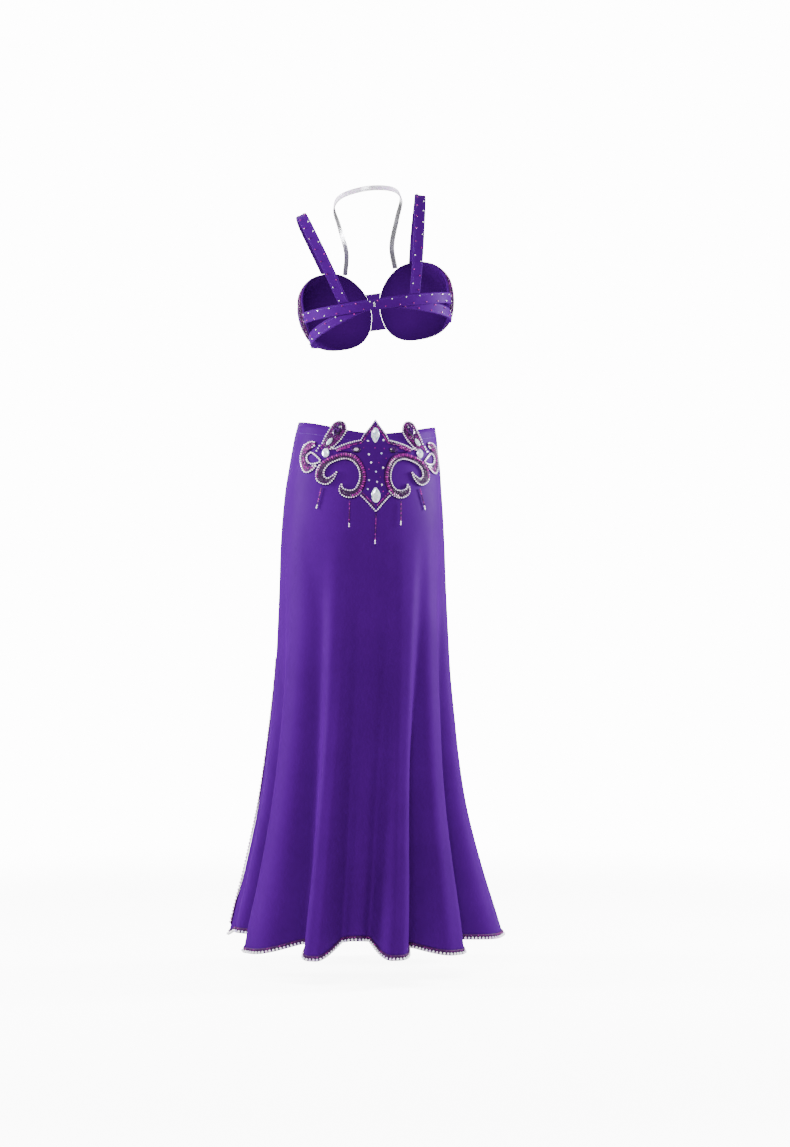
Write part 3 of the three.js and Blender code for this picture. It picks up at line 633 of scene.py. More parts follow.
class Finishes:
    """Every finish of the dress, each made once."""

    def __init__(self) -> None:
        """Builds the materials."""
        self.satin = SatinCloth().make()
        self.tape = TapeFinish().make()
        self.beads = ToneFinish(
            "plum_beads",
            (
                (0.0, (0.012, 0.0006, 0.022, 1)),
                (0.45, (0.055, 0.001, 0.078, 1)),
                (0.75, (0.2, 0.0015, 0.18, 1)),
                (1.0, (0.44, 0.01, 0.34, 1)),
            ),
            roughness=0.16,
            coat=0.12,
            specular=0.3,
        ).make()
        self.crystal = ToneFinish(
            "clear_crystal",
            (
                (0.0, (1.0, 0.98, 1.0, 1)),
                (0.4, (0.9, 0.88, 1.0, 1)),
                (0.6, (0.95, 0.66, 0.95, 1)),
                (0.8, (0.62, 0.55, 0.86, 1)),
                (1.0, (0.4, 0.5, 0.75, 1)),
            ),
            roughness=0.1,
            coat=0.5,
            film=330.0,
        ).make()
        # Clear gems: a rainbow coat, with painted reflections and shade that differ from facet to facet.
        self.rainbow_and_painted_facets = ToneFinish(
            "rainbow_crystal",
            (
                (0.0, (0.96, 0.97, 1.0, 1)),
                (0.25, (0.3, 0.55, 0.72, 1)),
                (0.42, (0.93, 0.95, 1.0, 1)),
                (0.58, (0.36, 0.74, 0.5, 1)),
                (0.72, (0.9, 0.92, 1.0, 1)),
                (0.86, (0.68, 0.42, 0.85, 1)),
                (1.0, (0.08, 0.12, 0.26, 1)),
            ),
            roughness=0.07,
            metallic=0.3,
            coat=0.8,
            film=330.0,
        ).make()
        # Dark gems: near-black violet, with some facets painted lighter as highlights.
        self.dark = ToneFinish(
            "dark_crystal",
            ((0.0, (0.006, 0.0012, 0.014, 1)), (0.7, (0.02, 0.002, 0.04, 1)), (1.0, (0.09, 0.012, 0.16, 1))),
            roughness=0.06,
            coat=0.25,
            specular=0.4,
        ).make()
        self.thread = ToneFinish(
            "violet_thread",
            ((0.0, (0.05, 0.01, 0.19, 1)), (1.0, (0.09, 0.02, 0.3, 1))),
            roughness=0.55,
        ).make()
        self.wire = ToneFinish(
            "hook_wire",
            ((0.0, (0.55, 0.55, 0.58, 1)), (1.0, (0.7, 0.7, 0.72, 1))),
            roughness=0.22,
            metallic=1.0,
        ).make()


# Stones, beads and stitches


class StoneShape(Enum):
    """Small shapes that are set in rows."""

    FLATBACK = "flatback"
    BEAD = "bead"
    BICONE = "bicone"
    STITCH = "stitch"


@dataclass
class StoneRow:
    """Places of small stones: point, direction out, direction along, size and tone."""

    at: Array
    out: Array
    run: Array
    size: Array
    tone: Array

    @staticmethod
    def even(at: Array, out: Array, run: Array, size: tuple, tone: Array) -> "StoneRow":
        """Stones that are all one size.

        Args:
            at: points in millimetres.
            out: directions out of the cloth.
            run: directions along the row.
            size: length along the row, width and height in millimetres.
            tone: one value from 0 to 1 for each stone.

        Returns:
            The row.
        """
        return StoneRow(at, unit(out), unit(run), np.tile(np.array(size, float), (len(at), 1)), tone)

    @staticmethod
    def together(rows: list) -> "StoneRow":
        """Joins rows into one."""
        return StoneRow(*(np.concatenate(columns) for columns in zip(*(row.columns() for row in rows))))

    def columns(self) -> tuple:
        """The row's arrays, in the order of its fields."""
        return self.at, self.out, self.run, self.size, self.tone

    def part(self, which: slice) -> "StoneRow":
        """Some of the row's stones."""
        return StoneRow(*(column[which] for column in self.columns()))


class StoneSetter:
    """Sets a small shape on every place of a row with Geometry Nodes."""

    def __init__(self) -> None:
        """Keeps the trees that were already built, and the seeded numbers."""
        self.trees: dict = {}
        self.random = np.random.default_rng(SEED)

    def shape_nodes(self, board: NodeBoard, shape: StoneShape) -> bpy.types.NodeSocket:
        """Adds the nodes of one shape of unit size that stands on its base.

        Args:
            board: the tree's board.
            shape: which shape.

        Returns:
            The socket that gives the shape's mesh.
        """
        if shape is StoneShape.FLATBACK:
            cone = board.add(
                "GeometryNodeMeshCone",
                {"Vertices": 8, "Radius Top": 0.27, "Radius Bottom": 0.5, "Depth": 1.0},
            )
            return cone.outputs["Mesh"]
        if shape is StoneShape.BICONE:
            join = board.add("GeometryNodeJoinGeometry")
            for turn in (0.0, math.pi):
                cone = board.add(
                    "GeometryNodeMeshCone",
                    {"Vertices": 7, "Radius Top": 0.14, "Radius Bottom": 0.5, "Depth": 0.5},
                )
                half = board.add(
                    "GeometryNodeTransform",
                    {"Geometry": cone.outputs["Mesh"], "Rotation": (0.0, math.pi / 2 + turn, 0.0)},
                )
                board.tree.links.new(half.outputs["Geometry"], join.inputs["Geometry"])
            return join.outputs["Geometry"]
        sphere = board.add(
            "GeometryNodeMeshUVSphere",
            {"Segments": 7, "Rings": 5 if shape is StoneShape.BEAD else 4, "Radius": 0.5},
        )
        return sphere.outputs["Mesh"]

    def tree(self, shape: StoneShape) -> bpy.types.NodeTree:
        """The Geometry Nodes tree that sets one shape.

        Args:
            shape: which shape.

        Returns:
            A tree with the inputs Geometry, Material and Size Factor.
        """
        if shape in self.trees:
            return self.trees[shape]
        tree = bpy.data.node_groups.new(f"set_{shape.value}", "GeometryNodeTree")
        tree.interface.new_socket("Geometry", in_out="INPUT", socket_type="NodeSocketGeometry")
        tree.interface.new_socket("Material", in_out="INPUT", socket_type="NodeSocketMaterial")
        factor = tree.interface.new_socket("Size Factor", in_out="INPUT", socket_type="NodeSocketFloat")
        factor.default_value = 1.0
        tree.interface.new_socket("Geometry", in_out="OUTPUT", socket_type="NodeSocketGeometry")
        board = NodeBoard(tree)
        start, end = board.add("NodeGroupInput"), board.add("NodeGroupOutput")
        vectors = {}
        for name in ("stone_out", "stone_run", "stone_size"):
            read = board.add("GeometryNodeInputNamedAttribute", data_type="FLOAT_VECTOR")
            read.inputs["Name"].default_value = name
            vectors[name] = read.outputs["Attribute"]
        turn = board.add(
            "FunctionNodeAxesToRotation",
            {"Primary Axis": vectors["stone_out"], "Secondary Axis": vectors["stone_run"]},
            primary_axis="Z",
            secondary_axis="X",
        )
        scale = board.add("ShaderNodeVectorMath", {0: vectors["stone_size"]}, operation="SCALE")
        tree.links.new(start.outputs["Size Factor"], scale.inputs["Scale"])
        setting = board.add(
            "GeometryNodeInstanceOnPoints",
            {
                "Points": start.outputs["Geometry"],
                "Instance": self.shape_nodes(board, shape),
                "Rotation": turn.outputs["Rotation"],
                "Scale": scale.outputs[0],
            },
        )
        real = board.add("GeometryNodeRealizeInstances", {"Geometry": setting.outputs["Instances"]})
        smooth = board.add(
            "GeometryNodeSetShadeSmooth",
            {"Geometry": real.outputs["Geometry"], "Shade Smooth": shape in (StoneShape.BEAD, StoneShape.STITCH)},
        )
        finish = board.add(
            "GeometryNodeSetMaterial",
            {"Geometry": smooth.outputs["Geometry"], "Material": start.outputs["Material"]},
        )
        board.feed(end, {"Geometry": finish.outputs["Geometry"]})
        self.trees[shape] = tree
        return tree

    def set_row(
        self, name: str, row: StoneRow, shape: StoneShape, material: bpy.types.Material
    ) -> bpy.types.Object:
        """Sets a shape on every place of a row.

        Args:
            name: the new object's name.
            row: the places.
            shape: which shape.
            material: its finish.

        Returns:
            A plain mesh object.
        """
        seat = new_object(name, row.at, [])
        for key, values in (("stone_out", row.out), ("stone_run", row.run), ("stone_size", row.size * MM)):
            layer = seat.data.attributes.new(key, "FLOAT_VECTOR", "POINT")
            layer.data.foreach_set("vector", values.astype(np.float32).ravel())
        tone = seat.data.attributes.new("tone", "FLOAT", "POINT")
        tone.data.foreach_set("value", row.tone.astype(np.float32))
        modifier = seat.modifiers.new("set", "NODES")
        modifier.node_group = self.tree(shape)
        for item in modifier.node_group.interface.items_tree:
            if item.name == "Material":
                modifier[item.identifier] = material
        graph = bpy.context.evaluated_depsgraph_get()
        mesh = bpy.data.meshes.new_from_object(seat.evaluated_get(graph))
        seat.modifiers.clear()
        for key in ("stone_out", "stone_run", "stone_size"):
            if key in mesh.attributes:
                mesh.attributes.remove(mesh.attributes[key])
        seat.data = mesh
        mesh.name = name
        if not mesh.materials:
            mesh.materials.append(material)
        return seat

    def tones(self, count: int, low: float = 0.0, high: float = 1.0) -> Array:
        """Seeded tones between two values."""
        return self.random.uniform(low, high, count)


class Dresser:
    """Finishes a piece: its material, its body and the solid that it stands for."""

    def __init__(self, finishes: Finishes) -> None:
        """Keeps the finishes."""
        self.finishes = finishes

    def piece(
        self, made: bpy.types.Object, slot: str, material: bpy.types.Material | None = None, node: str = ""
    ) -> bpy.types.Object:
        """Gives one piece its finish and body, hides the solid that it replaces and logs its faces.

        Args:
            made: the object.
            slot: not used.
            material: its finish, unless the mesh has its own.
            node: the solid that it replaces, if any.

        Returns:
            The same object.
        """
        if material is not None:
            made.data.materials.clear()
            made.data.materials.append(material)
        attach(made, "root")
        if node:
            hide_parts(node)
        LOG.info("%s: %d faces", made.name, len(made.data.polygons))
        return made


class StoneKind(Enum):
    """Kinds of stone, bead and stitch: the shape, the finish and the slot."""

    CRYSTAL = (StoneShape.FLATBACK, "crystal", "clear_stone")
    FLAT_BEAD = (StoneShape.FLATBACK, "beads", "beads")
    ROUND_BEAD = (StoneShape.BEAD, "beads", "beads")
    LONG_BEAD = (StoneShape.BICONE, "beads", "beads")
    CRYSTAL_TIP = (StoneShape.BICONE, "crystal", "clear_stone")
    STITCH = (StoneShape.STITCH, "thread", "satin")


class RowLook(NamedTuple):
    """How a row of stones is set: how far in and out it lies, its pitch, stone size, tones and start."""

    inset: float
    seat: float
    pitch: float
    size: tuple
    tone: tuple = (0.0, 1.0)
    start: float = 0.5


@dataclass
class DressPart:
    """What every part of the dress is made with."""

    dresser: Dresser
    setter: StoneSetter

    def stones(self, name: str, rows: list, kind: StoneKind, node: str = "") -> None:
        """Sets rows of stones as one piece.

        Args:
            name: the new piece's name.
            rows: the rows.
            kind: what is set.
            node: the solid that it replaces, if any.
        """
        shape, finish, slot = kind.value
        made = self.setter.set_row(name, StoneRow.together(rows), shape, getattr(self.dresser.finishes, finish))
        self.dresser.piece(made, slot, None, node)

    def stones_on(self, line: Array, out: Array, look: RowLook) -> StoneRow:
        """Stones at an even pitch along a line.

        Args:
            line: points of the line.
            out: directions out.
            look: the stones' pitch, size, tones and start.

        Returns:
            The row of stones.
        """
        where = seats(line, look.pitch, look.start)
        run = pick(np.gradient(line, axis=0), where)
        tones = self.setter.tones(len(where), *look.tone)
        return StoneRow.even(pick(line, where), pick(out, where), run, look.size, tones)


# Skirt


class SkirtRow(NamedTuple):
    """A level of the skirt, on general hips and then falling free."""

    name: str
    down: float
    half_width: float
    half_depth: float
    centre_x: float
    centre_y: float


class Fold(NamedTuple):
    """A crest or valley: its angle at hip and hem, depth, sideways roll, lift and turning height."""

    name: str
    hip_at: float
    hem_at: float
    depth: float
    lean: float
    lift: float
    turn: float


class Crease(NamedTuple):
    """A soft trough or ridge: its angle at its top and bottom, its heights, width and height."""

    top_at: float
    bottom_at: float
    top: float
    bottom: float
    width: float
    rise: float


HEM_STONES = (
    ("fuchsia", StoneKind.FLAT_BEAD, (RowLook(7.0, 1.4, 4.6, (2.1, 2.1, 1.4), (0.1, 0.95)),)),
    ("crystals", StoneKind.CRYSTAL, (RowLook(2.0, 1.3, 6.7, (4.6, 5.6, 3.0), (0.0, 0.8)),)),
)
SLIT_STONES = (
    (
        "fuchsia",
        StoneKind.FLAT_BEAD,
        (
            RowLook(6.4, 1.4, 5.2, (2.6, 2.6, 1.5), (0.45, 1.0)),
            RowLook(8.6, 1.4, 5.2, (2.6, 2.6, 1.5), (0.45, 1.0), 0.0),
        ),
    ),
    ("crystals", StoneKind.CRYSTAL, (RowLook(2.0, 1.4, 6.7, (4.8, 5.0, 3.0)),)),
)
WAIST_STITCHES = RowLook(0.0, 0.0, 2.9, (2.1, 0.55, 0.45))

SKIRT_ROWS = (
    SkirtRow("waist edge", 0, 127, 97, 2, 0),
    SkirtRow("high hip", -20, 131.5, 101, 3.5, 0),
    SkirtRow("hip bone", -45, 135.5, 106, 5, 0),
    SkirtRow("upper hip", -75, 140.5, 111, 6, 1),
    SkirtRow("hip", -110, 145, 116, 8, 2),
    SkirtRow("full hip", -150, 148.5, 119, 9, 3),
    SkirtRow("seat", -210, 152, 119, 10, 3),
    SkirtRow("upper thigh", -290, 155, 119, 10, 2),
    SkirtRow("thigh", -370, 159, 122, 10, 2),
    SkirtRow("low thigh", -450, 163.5, 127, 10, 2),
    SkirtRow("above knee", -530, 171, 134, 10, 3),
    SkirtRow("knee", -610, 180, 143, 10.5, 4),
    SkirtRow("below knee", -690, 192, 155, 10, 4),
    SkirtRow("calf", -765, 208.5, 168, 8.5, 4),
    SkirtRow("low calf", -830, 225, 181, 6.5, 4),
    SkirtRow("above hem", -885, 241, 193, 5, 4),
    SkirtRow("hem", -937, 255, 203, 3, 4),
)

BACK_FOLDS = (
    Fold("slit edge", 104, 91, 0, 0, 10, -420),
    Fold("left side crest", 95, 86, 9, 0, 18, -240),
    Fold("left side valley", 80, 77, 52, 0, 14, -240),
    Fold("left crest", 64, 66, 0, 19, -11, -240),
    Fold("left valley", 43, 47, 54, 0, 8, -240),
    Fold("centre left crest", 26, 30, 0, 13, -14, -240),
    Fold("centre left valley", 9, 23, 50, 0, 14, -240),
    Fold("centre ripple", -4, 14, 43, 0, 17, -240),
    Fold("centre valley", -18, 6, 52, 0, 15, -240),
    Fold("centre right crest", -34, -4, 0, -11, -12, -240),
    Fold("centre right valley", -47, -23, 54, 0, 1, -240),
    Fold("right crest", -60, -37, 0, -16, -10, -240),
    Fold("right valley", -71, -54, 56, 0, 8, -240),
    Fold("right side crest", -80, -75, 0, 0, 6, -240),
    Fold("right seam", -90, -90, 10, 0, 6, -240),
)

FRONT_FOLDS = (
    Fold("right seam", -90, -90, 10, 0, 6, -240),
    Fold("right front valley", -102, -104, 46, 0, 13, -260),
    Fold("right front crest", -118, -119, 0, 14, -4, -260),
    Fold("front valley right", -134, -136, 50, 0, 10, -260),
    Fold("front crest right", -152, -151, 0, 12, -8, -260),
    Fold("front valley", -170, -167, 46, 0, 8, -260),
    Fold("front crest", -186, -182, 0, -8, -8, -260),
    Fold("front valley left", -204, -197, 50, 0, 9, -260),
    Fold("front crest left", -222, -212, 0, -12, -6, -260),
    Fold("left front valley", -240, -228, 44, 0, 10, -260),
    Fold("slit front edge", -256, -241, 6, 0, 12, -420),
)

CREASES = (
    Crease(58, 40, -150, -420, 16, -1.6),
    Crease(30, 34, -190, -520, 18, 1.5),
    Crease(-6, -10, -175, -470, 17, -1.7),
    Crease(-40, -30, -200, -560, 20, 1.6),
    Crease(-66, -58, -140, -380, 14, -1.5),
    Crease(78, 74, -60, -260, 13, -1.2),
    Crease(-84, -80, -40, -230, 13, -1.2),
    Crease(-125, -130, -60, -330, 18, -1.5),
    Crease(-200, -196, -120, -430, 20, 1.5),
    Crease(-165, -160, -90, -300, 16, -1.3),
)


@dataclass
class SkirtCloth:
    """The rule that gives every point of the skirt's outer face."""

    hem: float = -937.0
    fold_start: float = -170.0
    fullness: float = 2.0
    edge_blend: float = 120.0
    rows: tuple = SKIRT_ROWS
    creases: tuple = CREASES

    def waist_edge(self, angle: Array) -> Array:
        """Height of the waist edge, which dips at the back."""
        return 9.6 + 3.8 * np.sin(angle) - 20.4 * np.cos(angle) ** 2

    def growth(self, down: Array) -> Array:
        """How far the folds have opened at a height, from 0 to 1."""
        return np.clip((self.fold_start - down) / (self.fold_start - self.hem), 0, 1) ** 1.45

    def relief(self, angle: Array, down: Array) -> Array:
        """Soft creases, as millimetres out of the cloth."""
        total = np.zeros(np.broadcast(angle, down).shape)
        for crease in self.creases:
            share = (crease.top - down) / (crease.top - crease.bottom)
            along = np.clip(share, 0, 1)
            middle = np.radians(crease.top_at + (crease.bottom_at - crease.top_at) * along)
            away = (np.mod(angle - middle + math.pi, 2 * math.pi) - math.pi) * 140
            window = np.sin(math.pi * along) ** 1.5
            total = total + crease.rise * window * np.exp(-((away / crease.width) ** 2))
        return total

    def radius(self, angle: Array, down: Array) -> Array:
        """Distance of the cloth from its level's middle, before the folds."""
        half_width = smooth_column(self.rows, "down", "half_width", down)
        half_depth = smooth_column(self.rows, "down", "half_depth", down)
        plain = 1 / np.hypot(np.sin(angle) / half_width, np.cos(angle) / half_depth)
        return plain + self.relief(angle, down)

    def point(self, folds: tuple, along: Array, down: Array, shift: Array | float = 0.0) -> Array:
        """Points of the outer face.

        Args:
            folds: the panel's fold table.
            along: places in the fold table; whole numbers are its rows.
            down: heights before the cloth's own lift.
            shift: moves the points sideways along the face.

        Returns:
            Points in millimetres.
        """
        row = np.clip(np.floor(along).astype(int), 0, len(folds) - 2)
        part = along - row
        names = ("hip_at", "hem_at", "depth", "lean", "lift", "turn")
        table = {name: np.array([getattr(fold, name) for fold in folds], float) for name in names}

        def angle_of(index: Array) -> Array:
            """A fold's angle in degrees at these heights."""
            fall = np.clip((table["turn"][index] - down) / (table["turn"][index] - self.hem), 0, 1)
            return table["hip_at"][index] + (table["hem_at"] - table["hip_at"])[index] * fall**1.2

        soft = 0.5 - 0.5 * np.cos(math.pi * part)
        deeper = table["depth"][row + 1] > table["depth"][row]
        full = np.where(deeper, soft**self.fullness, 1 - (1 - soft) ** self.fullness)

        def mix(name: str, share: Array) -> Array:
            """A column of the table between two folds."""
            return table[name][row] + (table[name][row + 1] - table[name][row]) * share

        growth = self.growth(down)
        angle = np.radians(angle_of(row) + (angle_of(row + 1) - angle_of(row)) * part)
        radius = self.radius(angle, down) - mix("depth", full) * growth
        sideways = mix("lean", soft) * growth + shift
        x = smooth_column(self.rows, "down", "centre_x", down)
        y = smooth_column(self.rows, "down", "centre_y", down)
        x = x + radius * np.sin(angle) + sideways * np.cos(angle)
        y = y + radius * np.cos(angle) - sideways * np.sin(angle)
        edge = self.waist_edge(angle) * np.clip(1 + down / self.edge_blend, 0, 1)
        z = down + edge + mix("lift", full) * np.clip(down / self.hem, 0, 1) ** 3
        return np.stack([x, y, z], axis=-1)

    def out(self, folds: tuple, along: Array, down: Array) -> Array:
        """Level directions out of the face."""
        low = np.clip(along - 0.004, 0, len(folds) - 1)
        high = np.clip(along + 0.004, 0, len(folds) - 1)
        run = self.point(folds, high, down) - self.point(folds, low, down)
        return unit(np.stack([run[..., 1], -run[..., 0], np.zeros(run.shape[:-1])], axis=-1))


@dataclass
class Panel:
    """One panel of the skirt as a grid of points with their directions out."""

    face: Array
    out: Array
    uv: Array

    def hem_line(self, above: float, away: float) -> tuple:
        """A line along the hem.

        Args:
            above: millimetres above the cloth's edge, negative below it.
            away: millimetres out of the cloth.

        Returns:
            The line's points and their directions out.
        """
        edge, upper = self.face[:, -1], self.face[:, -4]
        fall = (edge - upper) / np.maximum(upper[:, 2:] - edge[:, 2:], 1e-6)
        return edge - fall * above + self.out[:, -1] * away, self.out[:, -1]


@dataclass
class Skirt(DressPart):
    """The flared hip skirt: two panels with stone bands along hem and slit."""

    cloth: SkirtCloth
    back_steps: int = 18
    front_steps: int = 16
    levels: int = 132
    thick: float = 1.0
    tape_gap: float = 0.5
    tape_thick: float = 0.9
    tape_width: float = 10.0
    band_top: float = 9.2
    band_bottom: float = -0.6
    slit_top: float = -420.0
    slit_start: float = 0.2
    slit_end: float = 8.0
    stitch_level: int = 2
    back_cut: tuple = (1.1, 0.96)
    back_area: float = 0.55
    front_cut: tuple = (0.95, 0.97)
    front_area: float = 0.46

    def panel(self, folds: tuple, steps: int) -> Panel:
        """Works out one panel.

        Args:
            folds: the panel's fold table.
            steps: columns from one crest or valley to the next.

        Returns:
            The panel's grid.
        """
        count = (len(folds) - 1) * steps + 1
        along = np.linspace(0, len(folds) - 1, count)[:, None]
        down = self.cloth.hem * np.linspace(0, 1, self.levels)[None, :] ** 0.94
        down[0, 0] = 0.0
        along, down = np.broadcast_arrays(along, down)
        shift = np.zeros(along.shape)
        shift[0], shift[-1] = -0.15, 0.15
        face = self.cloth.point(folds, along, down, shift)
        out = self.cloth.out(folds, along, down)
        length = np.linalg.norm(np.diff(face, axis=0), axis=-1)
        width = np.concatenate([np.zeros((1, face.shape[1])), np.cumsum(length, axis=0)])
        uv = np.stack([width, down], axis=-1)
        return Panel(face, out, uv)

    def cloth_piece(self, name: str, panel: Panel, cut: tuple, area: float) -> bpy.types.Object:
        """Makes a panel's cloth and logs its width at the waist and at the hem."""
        made = wall_object(f"{name}_cloth", panel.face, panel.face - panel.out * self.thick, panel.uv)
        waist, hem = panel.uv[-1, 0, 0], panel.uv[-1, -1, 0]
        LOG.info("%s is %.0f mm wide at the waist and %.0f mm at the hem", name, waist, hem)
        self.dresser.piece(made, "satin", self.dresser.finishes.satin, name)
        return made

    def band(self, name: str, lines: list) -> None:
        """Makes a plum tape through lines, each with points and directions out.

        Args:
            name: the solid that the tape replaces.
            lines: the lines from one edge to the other.
        """
        points = np.stack([line for line, _ in lines], axis=1)
        outs = np.stack([out for _, out in lines], axis=1)
        run = np.concatenate([[0], np.cumsum(np.linalg.norm(np.diff(points[:, 0], axis=0), axis=1))])
        rise = np.linspace(0, self.tape_width, points.shape[1])
        uv = np.stack(np.broadcast_arrays(run[:, None], rise[None, :]), axis=-1)
        made = wall_object(f"{name}_tape", points + outs * self.tape_thick, points, uv)
        self.dresser.piece(made, "stone_trim", self.dresser.finishes.tape, name)

    def trim_stones(self, name: str, table: tuple, line: Callable) -> None:
        """Sets the stones of a trim.

        Args:
            name: the trim.
            table: names, kinds and looks of its rows.
            line: gives points and directions out at an inset and a seat height.
        """
        for label, kind, looks in table:
            rows = [self.stones_on(*line(look.inset, look.seat), look) for look in looks]
            self.stones(f"{name}_{label}", rows, kind)

    def hem_band(self, name: str, panel: Panel) -> None:
        """Dresses one panel's hem: plum tape, fuchsia stones and hanging crystals."""
        heights = np.linspace(self.band_top, self.band_bottom, 5)
        self.band(name, [panel.hem_line(height, self.tape_gap) for height in heights])
        self.trim_stones(name, HEM_STONES, panel.hem_line)

    def slit_band(self, name: str, panel: Panel, first: bool) -> None:
        """Dresses one edge of the slit.

        Args:
            name: the solid that the tape replaces.
            panel: the panel whose edge it is.
            first: whether the edge is the panel's first column.
        """
        face = panel.face if first else panel.face[::-1]
        outs = panel.out if first else panel.out[::-1]
        start = int(np.searchsorted(-face[0, :, 2], -self.slit_top))
        edge = face[0, start:-1]
        inward = unit(face[3, start:-1] - edge)
        out = outs[0, start:-1]
        keep = edge[:, 2] > edge[-1, 2] + self.slit_end
        edge, inward, out = edge[keep], inward[keep], out[keep]

        def line(inset: float, seat: float) -> tuple:
            """Points and directions out along the edge."""
            return edge + inward * inset + out * seat, out

        insets = np.linspace(self.slit_start, self.tape_width, 4)
        self.band(name, [line(inset, self.tape_gap) for inset in insets])
        self.trim_stones(name, SLIT_STONES, line)

    def waist_stitches(self, name: str, panel: Panel) -> None:
        """Topstitching below the turned waist edge."""
        level = self.stitch_level
        row = self.stones_on(panel.face[:, level], panel.out[:, level], WAIST_STITCHES)
        self.stones(name, [row], StoneKind.STITCH)

    def build(self) -> None:
        """Builds the whole skirt."""
        back = self.panel(BACK_FOLDS, self.back_steps)
        front = self.panel(FRONT_FOLDS, self.front_steps)
        self.cloth_piece("skirt_back", back, self.back_cut, self.back_area)
        self.cloth_piece("skirt_front", front, self.front_cut, self.front_area)
        panels = (("back", back), ("front", front))
        for side, panel in panels:
            self.hem_band(f"hem_trim_{side}", panel)
        for side, panel in panels:
            self.slit_band(f"slit_trim_{side}", panel, side == "back")
        for side, panel in panels:
            self.waist_stitches(f"waist_stitches_{side}", panel)


# Applique


class RibKnot(NamedTuple):
    """A knot of a flat rib: across from the back centre, up from the origin, and its width."""

    name: str
    across: float
    up: float
    width: float


class Outline(NamedTuple):
    """A level of the centre field and its half width."""

    name: str
    up: float
    half: float


class Gem(NamedTuple):
    """A large stone on the pattern: place, size, turn from upright, how pointed, and its seat."""

    name: str
    across: float
    up: float
    long: float
    wide: float
    tilt: float
    point: float
    base: float
    clear: bool


class Dangle(NamedTuple):
    """A bead string: its top and its end on the pattern."""

    name: str
    across: float
    up: float
    end_across: float
    end_up: float


SCROLL = (
    RibKnot("hook tip", 70.5, -80.5, 2),
    RibKnot("hook inside", 78, -92, 8.5),
    RibKnot("hook bottom", 87.5, -98.5, 13),
    RibKnot("hook back", 98.5, -93, 16),
    RibKnot("hook outside", 101, -83, 16),
    RibKnot("hook top", 97.5, -71, 15),
    RibKnot("shoulder", 88, -62, 13),
    RibKnot("crown outside", 75.5, -56.3, 12.5),
    RibKnot("crown", 58, -52.6, 12.2),
    RibKnot("crown inside", 40.5, -57.5, 12.5),
    RibKnot("inside", 28.5, -72, 12),
    RibKnot("waist", 23.5, -90.5, 12.5),
    RibKnot("belly", 28, -109.5, 13),
    RibKnot("heel", 37.5, -120, 14.5),
    RibKnot("foot", 49, -121.5, 15),
    RibKnot("foot curl", 58.5, -117, 12.5),
    RibKnot("tip neck", 61.8, -109.5, 7),
    RibKnot("tip", 60.3, -102.7, 1.5),
)
PETAL = (
    RibKnot("base", 96.5, -36, 21),
    RibKnot("lower leaf", 88.5, -24, 29),
    RibKnot("middle", 80.8, -11.5, 33),
    RibKnot("upper leaf", 75.5, -1, 33),
    RibKnot("round end", 72.2, 5, 25),
    RibKnot("crown", 70.3, 8.4, 15),
    RibKnot("end", 69.4, 10.2, 4),
)
WING = (
    RibKnot("top end", 117.5, -29.5, 7),
    RibKnot("top", 125, -31, 14),
    RibKnot("upper back", 135, -37.5, 16),
    RibKnot("back", 140, -50, 12),
    RibKnot("lower back", 137, -63, 12),
    RibKnot("point", 127.5, -75.5, 14.5),
    RibKnot("underside", 117.5, -73.5, 9),
    RibKnot("root", 109.8, -69, 3),
)
WING_LOOP = (
    RibKnot("root", 103.5, -61.5, 2.8),
    RibKnot("top side", 113, -51.4, 2.8),
    RibKnot("top", 123.5, -45.2, 2.8),
    RibKnot("outside", 131.2, -51.5, 2.8),
    RibKnot("lower outside", 129.5, -59.5, 2.8),
    RibKnot("bottom", 123.5, -65, 2.8),
    RibKnot("bottom side", 113.5, -65.8, 2.8),
)
PLATE = (
    Outline("top point", 14, 1),
    Outline("point side", 4, 9.5),
    Outline("shoulder", -13, 25),
    Outline("notch", -24, 31.5),
    Outline("arm start", -27, 47),
    Outline("arm", -30.5, 60),
    Outline("arm", -34, 70),
    Outline("arm corner", -38.5, 79),
    Outline("arm end", -41, 80),
    Outline("under the arm", -43, 73),
    Outline("under the arm", -44.2, 64),
    Outline("arm root", -45, 55),
    Outline("field top", -46.2, 46),
    Outline("field bottom", -121, 46),
    Outline("lower shoulder", -125.5, 27),
    Outline("lower side", -137, 16),
    Outline("bottom point", -154, 1),
)
CENTRE_GEMS = (
    Gem("pear_top", 0, -14.8, 28, 18, 180, 0.5, 2.8, True),
    Gem("pear_bottom", 0, -123.5, 28, 17, 0, 0.5, 2.8, True),
)
SIDE_GEMS = (
    Gem("oval_dark", 37.5, -41, 18, 10.5, 90, 0, 2.8, False),
    Gem("oval_clear", 95, -46.6, 17, 13.5, 15, 0, 0.5, True),
    Gem("pear_dark", 78.3, -5, 22, 15, -28, 0.35, 4.0, False),
    Gem("navette", 89.5, -26, 15, 8, -32, 0.2, 4.0, True),
)
DANGLES = (
    Dangle("dangle_1", 95.6, -109.5, 103.4, -148),
    Dangle("dangle_2", 46, -134, 47.5, -182),
    Dangle("dangle_3", 0, -157.5, 2.5, -212),
    Dangle("dangle_4", -46.5, -134, -44.5, -178),
    Dangle("dangle_5", -85.5, -110.5, -94, -149),
)
FIELD_STONES = (
    (15, -25.5), (-18, -23.5), (12, -50), (-13, -48), (8, -65), (-15, -74), (-1, -81.5), (12, -97),
    (-3, -100), (-12, -105), (14, -113),
)
FIELD_BEADS = ((0, -38), (23, -38), (-19, -39), (-22, -57), (-7, -65), (12.5, -77), (-9, -91), (-14, -117))
JOIN_CRYSTALS = ((109.2, -33.5), (111.0, -38.0), (113.2, -42.4), (85.4, -36.4), (82.0, -38.6))
JOIN_BEADS = (
    (104.5, -33.5), (101.3, -35), (98, -36.5), (94.5, -37.6), (91, -38), (87.5, -38.5), (106.5, -37),
    (103.5, -38.2), (107.8, -41), (84.5, -41),
)
